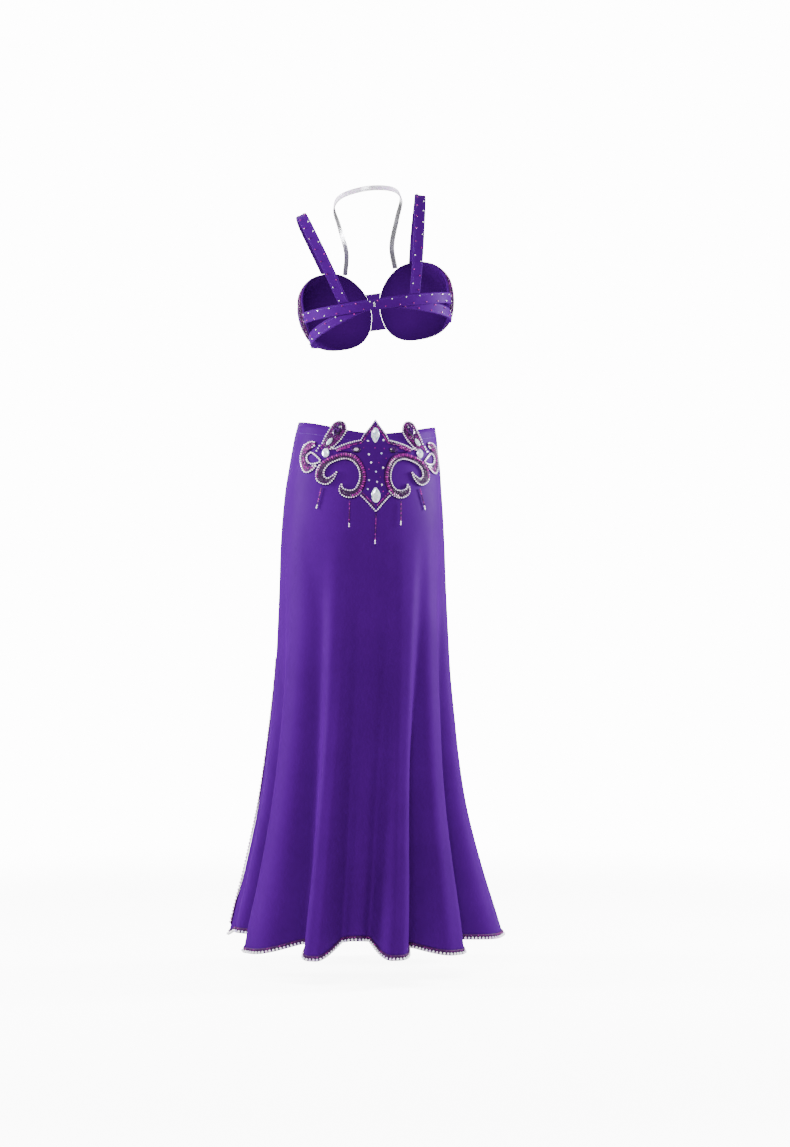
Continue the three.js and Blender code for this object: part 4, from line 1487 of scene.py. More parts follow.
JOINS = (
    (JOIN_CRYSTALS, StoneKind.CRYSTAL, (3.1, 3.1, 2.0), (0.0, 0.55)),
    (JOIN_BEADS, StoneKind.ROUND_BEAD, (2.7, 2.7, 2.4), (0.4, 0.95)),
)
BORDER_BEADS = (
    RowLook(3.0, 0.7, 2.5, (2.3, 2.3, 2.2), (0.0, 0.5)),
    RowLook(5.2, 0.7, 2.5, (2.3, 2.3, 2.2), (0.35, 0.95)),
)


class LeafLook(NamedTuple):
    """A beaded form's height, bead pitch and tones, whether long beads rope its outer side and its inner
    beads get painted shadow, and the stretches of its outline that carry crystals: side, start and end.
    """

    height: float
    pitch: float
    tone: tuple
    roped: bool
    spans: tuple


LEAVES = (
    (
        "scroll", SCROLL, 170,
        LeafLook(5.0, 2.7, (0.0, 0.45), True, ((1, 0.0, 1.0), (-1, 0.0, 0.3), (-1, 0.72, 1.0))),
    ),
    ("petal", PETAL, 60, LeafLook(3.2, 2.6, (0.05, 0.75), False, ((1, 0.0, 1.0), (-1, 0.0, 1.0)))),
    (
        "wing", WING, 70,
        LeafLook(3.2, 2.6, (0.15, 1.0), False, ((1, 0.0, 1.0), (-1, 0.0, 0.16), (-1, 0.86, 1.0))),
    ),
)


@dataclass
class RibLine:
    """A flat rib on the pattern, worked out at even steps."""

    middle: Array
    half: Array
    side: Array

    @staticmethod
    def through(knots: tuple, count: int, ring: bool = False) -> "RibLine":
        """Works out a rib through its knots."""
        table = np.array([[k.across, k.up, k.width] for k in knots], float)
        line = curve_through(table, count, ring)
        if ring:
            run = np.roll(line[:, :2], -1, axis=0) - np.roll(line[:, :2], 1, axis=0)
        else:
            run = np.gradient(line[:, :2], axis=0)
        side = unit(np.stack([-run[:, 1], run[:, 0]], axis=-1))
        return RibLine(line[:, :2], line[:, 2] / 2, side)

    def edge(self, place: Array | float, inset: float = 0.0) -> Array:
        """Points on the pattern at a place from -1 to 1 across the rib."""
        reach = self.half * place - inset * np.sign(place)
        return self.middle + self.side * reach[:, None]


@dataclass
class Applique(DressPart):
    """The beaded applique on the back of the hip."""

    cloth: SkirtCloth
    map_radius: float = 118.0
    lean_top: float = -2.6
    lean_fall: float = 0.031
    lift: float = 0.5
    plate_thick: float = 2.0
    plate_gap: float = 0.9
    plate_cut: tuple = (0.161, 0.168)
    plate_area: float = 0.0086
    border_above: float = -41.5
    border_below: float = -123.5
    border_inset: float = 1.8
    loop_height: float = 2.4
    gem_height: float = 4.2
    gem_sides: int = 18
    bead: float = 3.6
    end_beads: int = 2
    backing: float = 0.62
    cover_inset: float = 3.4
    # Where painted shadow starts across a roped rib, and the factor that it puts on the beads' tone.
    painted_shadow_from: float = 0.3
    painted_shadow_share: float = 0.4
    crystal: tuple = (3.1, 3.1, 2.0)
    crystal_pitch: float = 4.2
    crystal_tone: tuple = (0.0, 0.8)
    outline_inset: float = 1.2
    rope: tuple = (0.2, 0.8)
    rope_inset: float = 3.3
    rope_pitch: float = 4.3
    rope_bead: tuple = (5.6, 3.0, 3.0)
    arm_rows: tuple = (-2.2, 0.4, 3.0)
    arm_steps: tuple = (52, 74, 3)
    arm_level: float = -17.69
    arm_slope: float = -0.33
    join_seat: float = 1.2
    sides: tuple = (("left", 1), ("right", -1))

    def place(self, across: Array, up: Array, above: Array | float) -> Array:
        """Points above the skirt's face, from the flat pattern.

        Args:
            across: millimetres from the back centre, on the pattern's radius.
            up: heights.
            above: millimetres out of the cloth.

        Returns:
            Points in millimetres.
        """
        cloth = self.cloth
        angle = (across + self.lean_top + self.lean_fall * up) / self.map_radius
        edge = cloth.waist_edge(angle)
        blend = (up - edge) / (1 + edge / cloth.edge_blend)
        down = np.where(up >= edge, up - edge, np.where(up <= -cloth.edge_blend, up, blend))
        half_width = smooth_column(cloth.rows, "down", "half_width", down)
        half_depth = smooth_column(cloth.rows, "down", "half_depth", down)
        radius = cloth.radius(angle, down)
        x, y = radius * np.sin(angle), radius * np.cos(angle)
        out = unit(np.stack([x / half_width**2, y / half_depth**2], axis=-1))
        return np.stack(
            [
                smooth_column(cloth.rows, "down", "centre_x", down) + x + out[..., 0] * above,
                smooth_column(cloth.rows, "down", "centre_y", down) + y + out[..., 1] * above,
                np.broadcast_to(up, x.shape),
            ],
            axis=-1,
        )

    def stones_at(self, flat: Array, above: Array | float, size: tuple, tone: Array, mirror: int) -> StoneRow:
        """Stones at flat pattern points.

        Args:
            flat: points on the pattern.
            above: seat height over the cloth.
            size: each stone's length, width and height.
            tone: one tone for each stone.
            mirror: 1 for the left half, -1 for the right half.

        Returns:
            The row of stones.
        """
        across, up = flat[:, 0] * mirror, flat[:, 1]
        at = self.place(across, up, above)
        out = self.place(across, up, np.asarray(above) + 1.0) - at
        step = np.roll(flat, -1, axis=0) - flat
        step[-1] = flat[-1] - flat[-2] if len(flat) > 1 else (1.0, 0.0)
        ahead = self.place(across + step[:, 0] * 0.3 * mirror, up + step[:, 1] * 0.3, above)
        return StoneRow.even(at, out, ahead - at + 1e-6, size, tone)

    def profile(self, place: Array, height: float) -> Array:
        """Height of a rounded rib over the cloth, at places across it."""
        return self.lift + height * (0.55 + 0.45 * np.sqrt(np.clip(1 - place**2, 0, 1)))

    def rib_base(
        self, name: str, line: RibLine, height: float, mirror: int, slot: str, ring: bool = False
    ) -> None:
        """The padded backing of a rib."""
        places = np.linspace(-1, 1, 7)
        flat = np.stack([line.edge(place) for place in places], axis=1)
        across, up = flat[..., 0] * mirror, flat[..., 1]
        outer = self.place(across, up, self.profile(places, height * self.backing)[None, :])
        inner = self.place(across, up, np.full(places.shape, self.lift)[None, :])
        made = wall_object(f"{name}_backing", outer, inner, flat, ring)
        self.dresser.piece(made, slot, self.dresser.finishes.tape, name)

    def bead_cover(self, line: RibLine, look: LeafLook) -> Array:
        """Beads laid in rows over a rib; on a roped rib its inner beads are darkened, a painted shadow.

        Args:
            line: the rib.
            look: its height and the look of its beads.

        Returns:
            One row for each bead: its flat point, its seat height and its tone.
        """
        found = []
        where = seats(line.middle, look.pitch)
        for middle, half, side in zip(*(pick(values, where) for values in (line.middle, line.half, line.side))):
            room = half - self.cover_inset
            if room <= 0:
                continue
            count = max(int(round(2 * room / look.pitch)) + 1, 1)
            for k in range(count):
                place = 0.0 if count == 1 else (2 * k / (count - 1) - 1)
                spot = middle + side * room * place
                seat = self.profile(np.array(place * room / half), look.height * self.backing)
                tone = self.setter.random.uniform(*look.tone)
                # On a roped rib, beads past this place are darkened: painted shadow of the long beads.
                if look.roped and place > self.painted_shadow_from:
                    tone *= self.painted_shadow_share
                found.append((spot[0], spot[1], float(seat), tone))
        return np.array(found)

    def crystal_row(self, line: Array, above: float, mirror: int) -> StoneRow:
        """Outline crystals along a line of the pattern."""
        flat = pick(line, seats(line, self.crystal_pitch))
        tone = self.setter.tones(len(flat), *self.crystal_tone)
        return self.stones_at(flat, above, self.crystal, tone, mirror)

    def leaf(self, name: str, line: RibLine, look: LeafLook, mirror: int) -> None:
        """A beaded form: backing, bead cover, long beads and crystal outline.

        Args:
            name: the solid that it replaces.
            line: the rib.
            look: its height and covering.
            mirror: 1 for left, -1 for right.
        """
        self.rib_base(name, line, look.height, mirror, "beads")
        cover = self.bead_cover(line, look)
        size = (look.pitch * 0.98, look.pitch * 0.98, look.pitch * 0.92)
        row = self.stones_at(cover[:, :2], cover[:, 2], size, cover[:, 3], mirror)
        self.stones(f"{name}_beads", [row], StoneKind.ROUND_BEAD)
        if look.roped:
            self.long_beads(name, line, look.height, mirror)
        count = len(line.middle) - 1
        rows = []
        for side, start, end in look.spans:
            edge = line.edge(side, self.outline_inset)[int(start * count) : int(end * count) + 1]
            rows.append(self.crystal_row(edge, self.lift + look.height * 0.5, mirror))
        self.stones(f"{name}_outline", rows, StoneKind.CRYSTAL)

    def long_beads(self, name: str, line: RibLine, height: float, mirror: int) -> None:
        """Bicones laid across a rib's outer half, as on a rope, in turn paler and darker."""
        count = len(line.middle) - 1
        first, last = (int(count * share) for share in self.rope)
        edge = line.edge(-1.0, self.rope_inset)[first:last]
        where = seats(edge, self.rope_pitch)
        flat = pick(edge, where)
        outward = -pick(line.side[first:last], where)
        tone = np.where(np.arange(len(flat)) % 2, 0.95, 0.7) + self.setter.tones(len(flat), -0.12, 0.05)
        row = self.stones_at(flat, self.lift + height * 0.95, self.rope_bead, tone, mirror)
        across, up = flat[:, 0] * mirror, flat[:, 1]
        far = self.place(across + outward[:, 0] * mirror, up + outward[:, 1], self.lift + height * 0.7)
        row.run = unit(far - row.at)
        self.stones(f"{name}_rope", [row], StoneKind.LONG_BEAD)

    def plate_half(self, scroll: RibLine, up: float) -> float:
        """Half width of the centre field at a height, clear of the scrolls."""
        ups = np.array([row.up for row in PLATE])[::-1]
        halves = np.array([row.half for row in PLATE])[::-1]
        limit = float(np.interp(up, ups, halves))
        for place in (-1.0, 1.0):
            edge = scroll.edge(place)
            for (x0, y0), (x1, y1) in zip(edge[:-1], edge[1:]):
                if (y0 - up) * (y1 - up) <= 0 and y0 != y1:
                    limit = min(limit, x0 + (x1 - x0) * (up - y0) / (y1 - y0) - self.plate_gap)
        return limit

    def plate(self, scroll: RibLine) -> None:
        """The centre field in cloth, with its crystal outline and scattered stones."""
        levels = [row.up for row in PLATE]
        ups = np.unique(np.concatenate([np.linspace(levels[0], levels[-1], 90), levels]))[::-1]
        halves = np.array([self.plate_half(scroll, up) for up in ups])
        parts = np.linspace(-1, 1, 25)
        across = parts[:, None] * halves[None, :]
        up = np.broadcast_to(ups[None, :], across.shape)
        crown = 0.75 + 0.25 * (1 - np.abs(parts[:, None]) ** 3)
        outer = self.place(across, up, self.lift + self.plate_thick * crown)
        inner = self.place(across, up, np.full(across.shape, self.lift))
        made = wall_object("applique_center_cloth", outer, inner, np.stack([across, up], axis=-1))
        self.dresser.piece(made, "satin", self.dresser.finishes.satin, "applique_center")
        self.plate_stones(ups, halves)

    def border_row(self, edge: Array, halves: Array, look: RowLook, mirror: int) -> StoneRow:
        """One row of beads inside the centre field's outline, clear of its middle and its edge."""
        run = unit(np.gradient(edge, axis=0))
        line = edge + np.stack([run[:, 1], -run[:, 0]], axis=-1) * look.inset
        line = line[(line[:, 0] > 0.4) & (line[:, 0] < halves - 2.0)]
        flat = pick(line, seats(line, look.pitch))
        tone = self.setter.tones(len(flat), *look.tone)
        return self.stones_at(flat, self.lift + self.plate_thick + look.seat, look.size, tone, mirror)

    def plate_stones(self, ups: Array, halves: Array) -> None:
        """The centre field's crystal outline, its beaded border and its scattered stones.

        Args:
            ups: heights of the field's outline.
            halves: its half width there.
        """
        seat = self.lift + self.plate_thick
        clear, beads = [], []
        arm = [
            (x, self.arm_level + self.arm_slope * x + row)
            for x in range(*self.arm_steps)
            for row in self.arm_rows
        ]
        for mirror in (1, -1):
            for keep in (ups > self.border_above, ups < self.border_below):
                edge = np.stack([np.maximum(halves[keep] - self.border_inset, 0.2), ups[keep]], axis=-1)
                clear.append(self.crystal_row(edge, seat - 0.3, mirror))
                beads += [self.border_row(edge, halves[keep], look, mirror) for look in BORDER_BEADS]
            tone = self.setter.tones(len(arm), 0.5, 1.0)
            beads.append(self.stones_at(np.array(arm), seat + 0.7, (2.6, 2.6, 2.3), tone, mirror))
        flat = np.array(FIELD_STONES, float)
        clear.append(self.stones_at(flat, seat, (4.0, 4.0, 2.2), self.setter.tones(len(flat)), 1))
        flat = np.array(FIELD_BEADS, float)
        beads.append(self.stones_at(flat, seat + 0.4, (2.6, 2.6, 1.8), self.setter.tones(len(flat), 0.6, 0.9), 1))
        self.stones("applique_center_crystals", clear, StoneKind.CRYSTAL)
        self.stones("applique_center_beads", beads, StoneKind.ROUND_BEAD)

    def gem(self, gem: Gem, mirror: int, name: str) -> None:
        """A large faceted stone on its seat over the cloth.

        Args:
            gem: its place and form.
            mirror: 1 for left, -1 for right.
            name: the solid that it replaces.
        """
        turn = math.radians(gem.tilt)
        angle = np.linspace(0, 2 * math.pi, self.gem_sides, endpoint=False)

        def ring(size: float, above: float, twist: float = 0.0) -> Array:
            """Points round the stone at a share of its size and a height over its seat."""
            spin = angle + twist
            rise = np.cos(spin)
            taper = 1 - gem.point * np.clip(rise, 0, 1) ** 1.5
            x = np.sin(spin) * gem.wide * size * taper / 2
            y = rise * gem.long * size / 2
            across = gem.across - x * math.cos(turn) + y * math.sin(turn)
            up = gem.up + x * math.sin(turn) + y * math.cos(turn)
            return self.place(across * mirror, up, gem.base + above)

        high = self.gem_height
        half_step = math.pi / self.gem_sides
        rings = [
            ring(0.94, 0.0), ring(1.0, high * 0.36), ring(0.97, high * 0.5, half_step),
            ring(0.78, high * 0.8), ring(0.5, high, half_step),
        ]
        low_end, high_end = (
            self.place(np.array(gem.across * mirror), np.array(gem.up), gem.base + above)
            for above in (0.0, high)
        )
        finish = self.dresser.finishes.rainbow_and_painted_facets if gem.clear else self.dresser.finishes.dark
        stone = ring_stack(f"{name}_gem", rings, low_end, high_end, False)
        # Each facet gets a random tone: painted reflections and shade over the stone's own colour.
        tone = stone.data.attributes.new("tone", "FLOAT", "FACE")
        tone.data.foreach_set("value", self.setter.tones(len(stone.data.polygons)).astype(np.float32))
        self.dresser.piece(stone, "clear_stone" if gem.clear else "dark_stone", finish, name)

    def dangle(self, dangle: Dangle) -> None:
        """A bead string that hangs from the applique and ends in crystals."""
        start = np.array([dangle.across, dangle.up])
        end = np.array([dangle.end_across, dangle.end_up])
        count = int(round(float(np.linalg.norm(end - start)) / (self.bead * 1.12)))
        share = (np.arange(count) + 0.5) / count
        flat = start + (end - start) * share[:, None]
        tone = self.setter.tones(count, 0.1, 0.85)
        size = (self.bead * 1.08, self.bead * 0.9, self.bead * 0.9)
        row = self.stones_at(flat, self.lift + self.bead / 2, size, tone, 1)
        strung, ends = row.part(slice(None, -self.end_beads)), row.part(slice(-self.end_beads, None))
        self.stones(f"{dangle.name}_beads", [strung], StoneKind.LONG_BEAD, dangle.name)
        self.stones(f"{dangle.name}_tip", [ends], StoneKind.CRYSTAL_TIP)

    def join_stones(self, name: str, mirror: int) -> None:
        """Crystals and beads on the skirt that join the upper leaf to the field's arm."""
        for flat, kind, size, tone in JOINS:
            tones = self.setter.tones(len(flat), *tone)
            row = self.stones_at(np.array(flat, float), self.join_seat, size, tones, mirror)
            self.stones(f"{name}_{kind.value[2]}", [row], kind)

    def loop(self, name: str, mirror: int) -> None:
        """The small crystal loop inside a wing."""
        line = RibLine.through(WING_LOOP, 60, True)
        self.rib_base(name, line, self.loop_height, mirror, "clear_stone", True)
        flat = pick(line.middle, spaced(line.middle, self.crystal_pitch, ring=True))
        tone = self.setter.tones(len(flat), *self.crystal_tone)
        row = self.stones_at(flat, self.lift + self.loop_height * 0.6, (3.4, 3.4, 1.9), tone, mirror)
        self.stones(f"{name}_crystals", [row], StoneKind.CRYSTAL)

    def build(self) -> None:
        """Builds the whole applique."""
        lines = {name: RibLine.through(knots, count) for name, knots, count, _ in LEAVES}
        self.plate(lines["scroll"])
        for side, mirror in self.sides:
            for name, _, _, look in LEAVES:
                self.leaf(f"{name}_{side}", lines[name], look, mirror)
            self.join_stones(f"join_{side}", mirror)
            self.loop(f"wing_loop_{side}", mirror)
            for gem in SIDE_GEMS:
                self.gem(gem, mirror, f"{gem.name}_{side}")
        for gem in CENTRE_GEMS:
            self.gem(gem, 1, gem.name)
        for dangle in DANGLES:
            self.dangle(dangle)


# Bra top


class BodyRow(NamedTuple):
    """A level of a general upper body, in the bra's own frame."""

    name: str
    up: float
    half_width: float
    half_depth: float


class StrapStation(NamedTuple):
    """A station of a strap: place, the turn of its face and the shoulder's slope."""

    name: str
    across: float
    back: float
    up: float
    yaw: float
    slope: float


class StrapSide(NamedTuple):
    """What differs between the two straps."""

    name: str
    side: int
    at_band: float
    at_shoulder: float
    rise: float


class HalterKnot(NamedTuple):
    """A knot of the halter, for one side."""

    name: str
    across: float
    back: float
    up: float


BODY_ROWS = (
    BodyRow("below cups", -80, 128, 90),
    BodyRow("lower band", -45, 131, 93),
    BodyRow("upper band", 0, 134, 96),
    BodyRow("armhole", 50, 139, 100),
    BodyRow("chest", 100, 142, 101),
)
CUP_TOP = 85.9
STRAP_STATIONS = (
    StrapStation("back band", 0, 87, 10.3, 20, 0),
    StrapStation("low blade", 0.17, 91, 40, 18, 0),
    StrapStation("blade", 0.4, 91, 82, 15, 2),
    StrapStation("upper back", 0.7, 73, 136, 10, 8),
    StrapStation("back of shoulder", 0.93, 40, 178, 5, 15),
    StrapStation("shoulder", 1, 4, 191, 0, 18),
    StrapStation("front of shoulder", 0.95, -32, 178, -8, 15),
    StrapStation("upper chest", 0.68, -66, 134, -20, 6),
    StrapStation("cup top", 0.4, -88, CUP_TOP, -32, 0),
)
STRAP_SIDES = (StrapSide("left", 1, 63, 117, -1), StrapSide("right", -1, 68, 107, 6))
HALTER_KNOTS = (
    HalterKnot("cup", 47.6, -95.5, 79.4),
    HalterKnot("breast", 43, -86, 118),
    HalterKnot("collar bone", 54, -50, 166),
    HalterKnot("side of neck", 61.5, -4, 196),
    HalterKnot("side of nape", 46, 38, 210),
)


@dataclass
class UpperBody:
    """Where the bra sits: a general chest that leans and turns a little against the hips."""

    x: float = -17.6
    z: float = 224.8
    lean: float = 8.0
    turn: float = -6.0

    def world(self, points: Array) -> Array:
        """Points of the bra's own frame, in the dress's frame."""
        tip, spin = math.radians(self.lean), math.radians(self.turn)
        about_y = np.array([[math.cos(tip), 0, math.sin(tip)], [0, 1, 0], [-math.sin(tip), 0, math.cos(tip)]])
        about_z = np.array([[math.cos(spin), -math.sin(spin), 0], [math.sin(spin), math.cos(spin), 0], [0, 0, 1]])
        return points @ (about_y @ about_z).T + np.array([self.x, 0.0, self.z])

    def chest(self, angle: Array, up: Array, above: Array | float) -> Array:
        """Points of the bra's own frame, above the chest.

        Args:
            angle: radians from the back centre towards the left.
            up: heights from the upper back band.
            above: millimetres out of the chest.

        Returns:
            Points in millimetres.
        """
        half_width = smooth_column(BODY_ROWS, "up", "half_width", up)
        half_depth = smooth_column(BODY_ROWS, "up", "half_depth", up)
        radius = 1 / np.hypot(np.sin(angle) / half_width, np.cos(angle) / half_depth)
        x, y = radius * np.sin(angle), radius * np.cos(angle)
        out = unit(np.stack([x / half_width**2, y / half_depth**2], axis=-1))
        x, y = x + out[..., 0] * above, y + out[..., 1] * above
        return np.stack([x, y, np.broadcast_to(up, x.shape)], axis=-1)


@dataclass
class BraTop(DressPart):
    """Padded bra with back bands, shoulder straps, beaded edging and a crystal halter."""

    body: UpperBody
    band: float = 1.8
    band_height: float = 20.0
    over_layer: float = 2.1
    band_seam: float = 5.0
    lower_start: float = 16.0
    left_drop: float = 45.0
    right_drop: float = 33.0
    strap_width: float = 20.0
    cup_wall: float = 3.0
    cup_azimuth: float = 44.0
    cup_reach: float = 39.0
    cup_up: float = 12.0
    cup_rise: float = 73.0
    cup_fall: float = 73.0
    cup_bulge: float = 46.0
    squareness: float = 2.5
    taper: float = 0.3
    halter_centre: float = -9.0
    halter_height: float = 10.5
    halter_thick: float = 2.6
    halter_rows: tuple = (-3.7, -1.25, 1.25, 3.7)
    arm_share: float = 0.31
    arm_gap: float = 0.0006
    fold_rows: int = 15
    stud_pitch: float = 26.0
    stud_spread: float = 0.3
    pale_studs: float = 0.4
    stitch_inset: float = 3.0
    stitch_pitch: float = 2.8
    seam: float = 0.3
    cup_fill: float = 0.7
    edging: tuple = (0.925, 0.945, 0.97, 0.995)
    edging_beads: tuple = ((0.935, 2.2, 0.0), (0.962, 2.4, 0.5), (0.987, 2.0, 0.0))
    edging_pitch: float = 3.1
    strap_cut: float = 0.0208
    band_cut: float = 0.021
    bridge_cut: tuple = (0.047, 0.07)
    bridge_area: float = 0.00175
    bridge_low: float = -32.0
    bridge_high: float = 38.0
    hook_wire: float = 0.45

    def cup_taper(self, rise: Array) -> Array:
        """How much narrower the cup is towards the strap."""
        return 1 - self.taper * np.clip(rise, 0, 1) ** 1.5

    def cup_edge(self, up: Array, toward: float) -> Array:
        """Azimuth of the cup's edge from the front, at a height."""
        rise = (up - self.cup_up) / np.where(up > self.cup_up, self.cup_rise, self.cup_fall)
        share = (1 - np.clip(np.abs(rise), 0, 1) ** self.squareness) ** (1 / self.squareness)
        return self.cup_azimuth + toward * self.cup_reach * share * self.cup_taper(rise)

    def cup_point(self, side: int, ring: Array, angle: Array, above: float) -> Array:
        """Points over a cup, in the bra's own frame.

        Args:
            side: 1 for left, -1 for right.
            ring: shares of the cup's size from its middle.
            angle: radians round its middle.
            above: millimetres over its outer face.

        Returns:
            Points in millimetres.
        """
        c, s = np.cos(angle), np.sin(angle)
        corner = (np.abs(c) ** self.squareness + np.abs(s) ** self.squareness) ** (-1 / self.squareness)
        rise = s * corner * ring
        azimuth = self.cup_azimuth + self.cup_reach * c * corner * ring * self.cup_taper(s * corner)
        up = self.cup_up + np.where(s > 0, self.cup_rise, self.cup_fall) * rise
        bulge = self.cup_bulge * np.clip(1 - ring**2, 0, 1) ** 0.8 * (1 - 0.15 * rise)
        return self.body.chest(side * np.radians(180 - azimuth), up, self.cup_wall + bulge + above)

    def edge_fold(self, rows: int, width: float) -> tuple:
        """Places across a folded band and its extra thickness there.

        Args:
            rows: how many places.
            width: the band's width.

        Returns:
            Places from -0.5 to 0.5 and the millimetres that each adds.
        """
        places = 0.5 * np.sin(np.linspace(-math.pi / 2, math.pi / 2, rows))
        from_edge = (0.5 - np.abs(places)) * width
        raised = 0.35 * np.exp(-(((from_edge - 1.3) / 0.8) ** 2))
        sunk = -0.3 * np.exp(-(((from_edge - 3.0) / 0.6) ** 2))
        round_off = -0.7 * np.exp(-from_edge / 0.35)
        return places, raised + sunk + round_off

    def studs(self, name: str, middle: Array, across: Array, out: Array, width: float) -> None:
        """Two staggered rows of small crystals and fuchsia stones in dark settings along a band.

        Args:
            name: the new piece's name.
            middle: the band's middle line on its outer face.
            across: unit directions across the band.
            out: directions out.
            width: the band's width.
        """
        where = seats(middle, self.stud_pitch / 2)
        sign = np.where(np.arange(len(where)) % 2 == 0, 1.0, -1.0)
        at = pick(middle, where) + pick(across, where) * (sign * width * self.stud_spread)[:, None]
        run = pick(np.gradient(middle, axis=0), where)
        lift = pick(unit(out), where)
        tone = self.setter.tones(len(where))
        pale = tone < self.pale_studs
        red = ~pale
        raised = at + lift * 0.1
        clear = StoneRow.even(raised[pale], lift[pale], run[pale], (2.7, 2.7, 1.6), tone[pale])
        setting = StoneRow.even(at - lift * 0.2, lift, run, (4.4, 4.4, 0.9), tone * 0.3)
        fuchsia = StoneRow.even(raised[red], lift[red], run[red], (2.9, 2.9, 1.7), 0.55 + tone[red] * 0.45)
        self.stones(f"{name}_studs", [clear], StoneKind.CRYSTAL)
        self.stones(f"{name}_settings", [setting, fuchsia], StoneKind.FLAT_BEAD)

    def stitches(self, name: str, middle: Array, across: Array, out: Array, width: float) -> None:
        """Topstitching along both edges of a band."""
        rows = []
        for sign in (-1.0, 1.0):
            line = middle + across * sign * (width / 2 - self.stitch_inset)
            where = seats(line, self.stitch_pitch)
            run = pick(np.gradient(line, axis=0), where)
            lift = pick(unit(out), where)
            at = pick(line, where) - lift * 0.15
            rows.append(StoneRow.even(at, lift, run, (2.0, 0.5, 0.4), self.setter.tones(len(where))))
        self.stones(f"{name}_stitches", rows, StoneKind.STITCH)

    def ribbon(
        self, name: str, at: Array, side: Array, out: Array, width: float, thick: float
    ) -> bpy.types.Object:
        """A flat band with folded edges through stations.

        Args:
            name: the new object's name.
            at: middle points on the inner face, in the bra's own frame.
            side: unit directions across.
            out: unit directions out.
            width: the band's width.
            thick: its thickness.

        Returns:
            The band.
        """
        places, extra = self.edge_fold(self.fold_rows, width)
        across = at[:, None] + side[:, None] * (places * width)[None, :, None]
        outer = across + out[:, None] * (thick + extra)[None, :, None]
        run = np.concatenate([[0], np.cumsum(np.linalg.norm(np.diff(at, axis=0), axis=1))])
        uv = np.stack(np.broadcast_arrays(run[:, None], (places * width)[None, :]), axis=-1)
        return wall_object(name, self.body.world(outer), self.body.world(across), uv)

    def back_band(self, name: str, start: float, side: int, middle: Callable, layer: float) -> None:
        """A studded band round one side of the back to the cup's edge.

        Args:
            name: the solid that it replaces.
            start: the angle at which it starts, in degrees.
            side: 1 for left, -1 for right.
            middle: gives the middle line's height at an angle.
            layer: how far its inner face stands off the chest.
        """
        places, extra = self.edge_fold(self.fold_rows, self.band_height)
        rise = -places * self.band_height
        line_end = middle(np.array(95.0)) + rise
        end = side * (180 - self.cup_edge(line_end, 1) - self.seam)
        share = np.linspace(0, 1, 90)[:, None]
        degrees = start + (end[None, :] - start) * share
        up = middle(np.abs(degrees)) + rise[None, :]
        angle = np.radians(degrees)
        outer = self.body.world(self.body.chest(angle, up, layer + self.band + extra[None, :]))
        inner = self.body.world(self.body.chest(angle, up, layer))
        run = degrees * 2.1
        made = wall_object(f"{name}_cloth", outer, inner, np.stack([run, np.broadcast_to(rise, run.shape)], axis=-1))
        self.dresser.piece(made, "satin", self.dresser.finishes.satin, name)
        centre, edge = outer[:, self.fold_rows // 2], outer[:, 3]
        across = unit(edge - centre)
        out = centre - inner[:, self.fold_rows // 2]
        self.studs(name, centre, across, out, self.band_height)
        self.stitches(name, centre, across, out, self.band_height)

    def lower_line(self, drop: float) -> Callable:
        """Middle line of a lower band, which drops towards the side."""

        def line(degrees: Array) -> Array:
            """Heights at angles from the back."""
            part = np.clip((np.abs(degrees) - self.lower_start) / (90 - self.lower_start), 0, 1)
            return -1 - (drop - 1) * part**1.15

        return line

    def strap(self, strap: StrapSide) -> None:
        """A shoulder strap from the back band to the cup."""
        side = strap.side
        knots, turns = [], []
        for station in STRAP_STATIONS:
            x = strap.at_band + (strap.at_shoulder - strap.at_band) * station.across
            rise = strap.rise * min(max((station.up - CUP_TOP) / 60, 0), 1)
            knots.append([side * x, station.back, station.up + rise])
            turns.append([station.yaw, station.slope, 0.0])
        count = 130
        path = curve_through(np.array(knots), count)
        facing = np.radians(curve_through(np.array(turns), count))
        yaw, slope = facing[:, 0], facing[:, 1]
        across = np.stack(
            [side * np.cos(yaw) * np.cos(slope), -np.sin(yaw) * np.cos(slope), -np.sin(slope)], axis=-1
        )
        run = unit(np.gradient(path, axis=0))
        inward = unit(np.cross(across, run)) * side
        path, out = path + inward * self.band, -inward
        name = f"strap_{strap.name}"
        made = self.ribbon(f"{name}_cloth", path, across, out, self.strap_width, self.band)
        self.dresser.piece(made, "satin", self.dresser.finishes.satin, name)
        top = self.body.world(path + out * self.band)
        turned = self.body.world(path + across) - self.body.world(path)
        lift = self.body.world(path + out) - self.body.world(path)
        self.studs(name, top, turned, lift, self.strap_width)
        self.stitches(name, top, turned, lift, self.strap_width)

    def cup_ring(self, side: int, share: float, angle: Array, above: float) -> Array:
        """Points round a cup at a share of its size, in the dress's frame."""
        return self.body.world(self.cup_point(side, np.full(angle.shape, share), angle, above))

    def cup(self, side: int, label: str) -> None:
        """A padded cup with its beaded edging."""
        angle = np.linspace(0, 2 * math.pi, 96, endpoint=False)
        shares = np.sin(np.linspace(0.06, 1, 17) * math.pi / 2)
        outer = [self.cup_ring(side, share, angle, 0.0) for share in shares]
        inner = [self.cup_ring(side, share, angle, -self.cup_wall) for share in shares[::-1]]
        first, last = (self.cup_ring(side, 0.0, np.zeros(1), above)[0] for above in (0.0, -self.cup_wall))
        made = ring_stack(f"cup_{label}_cloth", outer + inner, first, last, True)
        self.flat_cup_map(made)
        self.dresser.piece(made, "satin", self.dresser.finishes.satin, f"cup_{label}")
        self.cup_edging(side, f"cup_edge_{label}", angle)

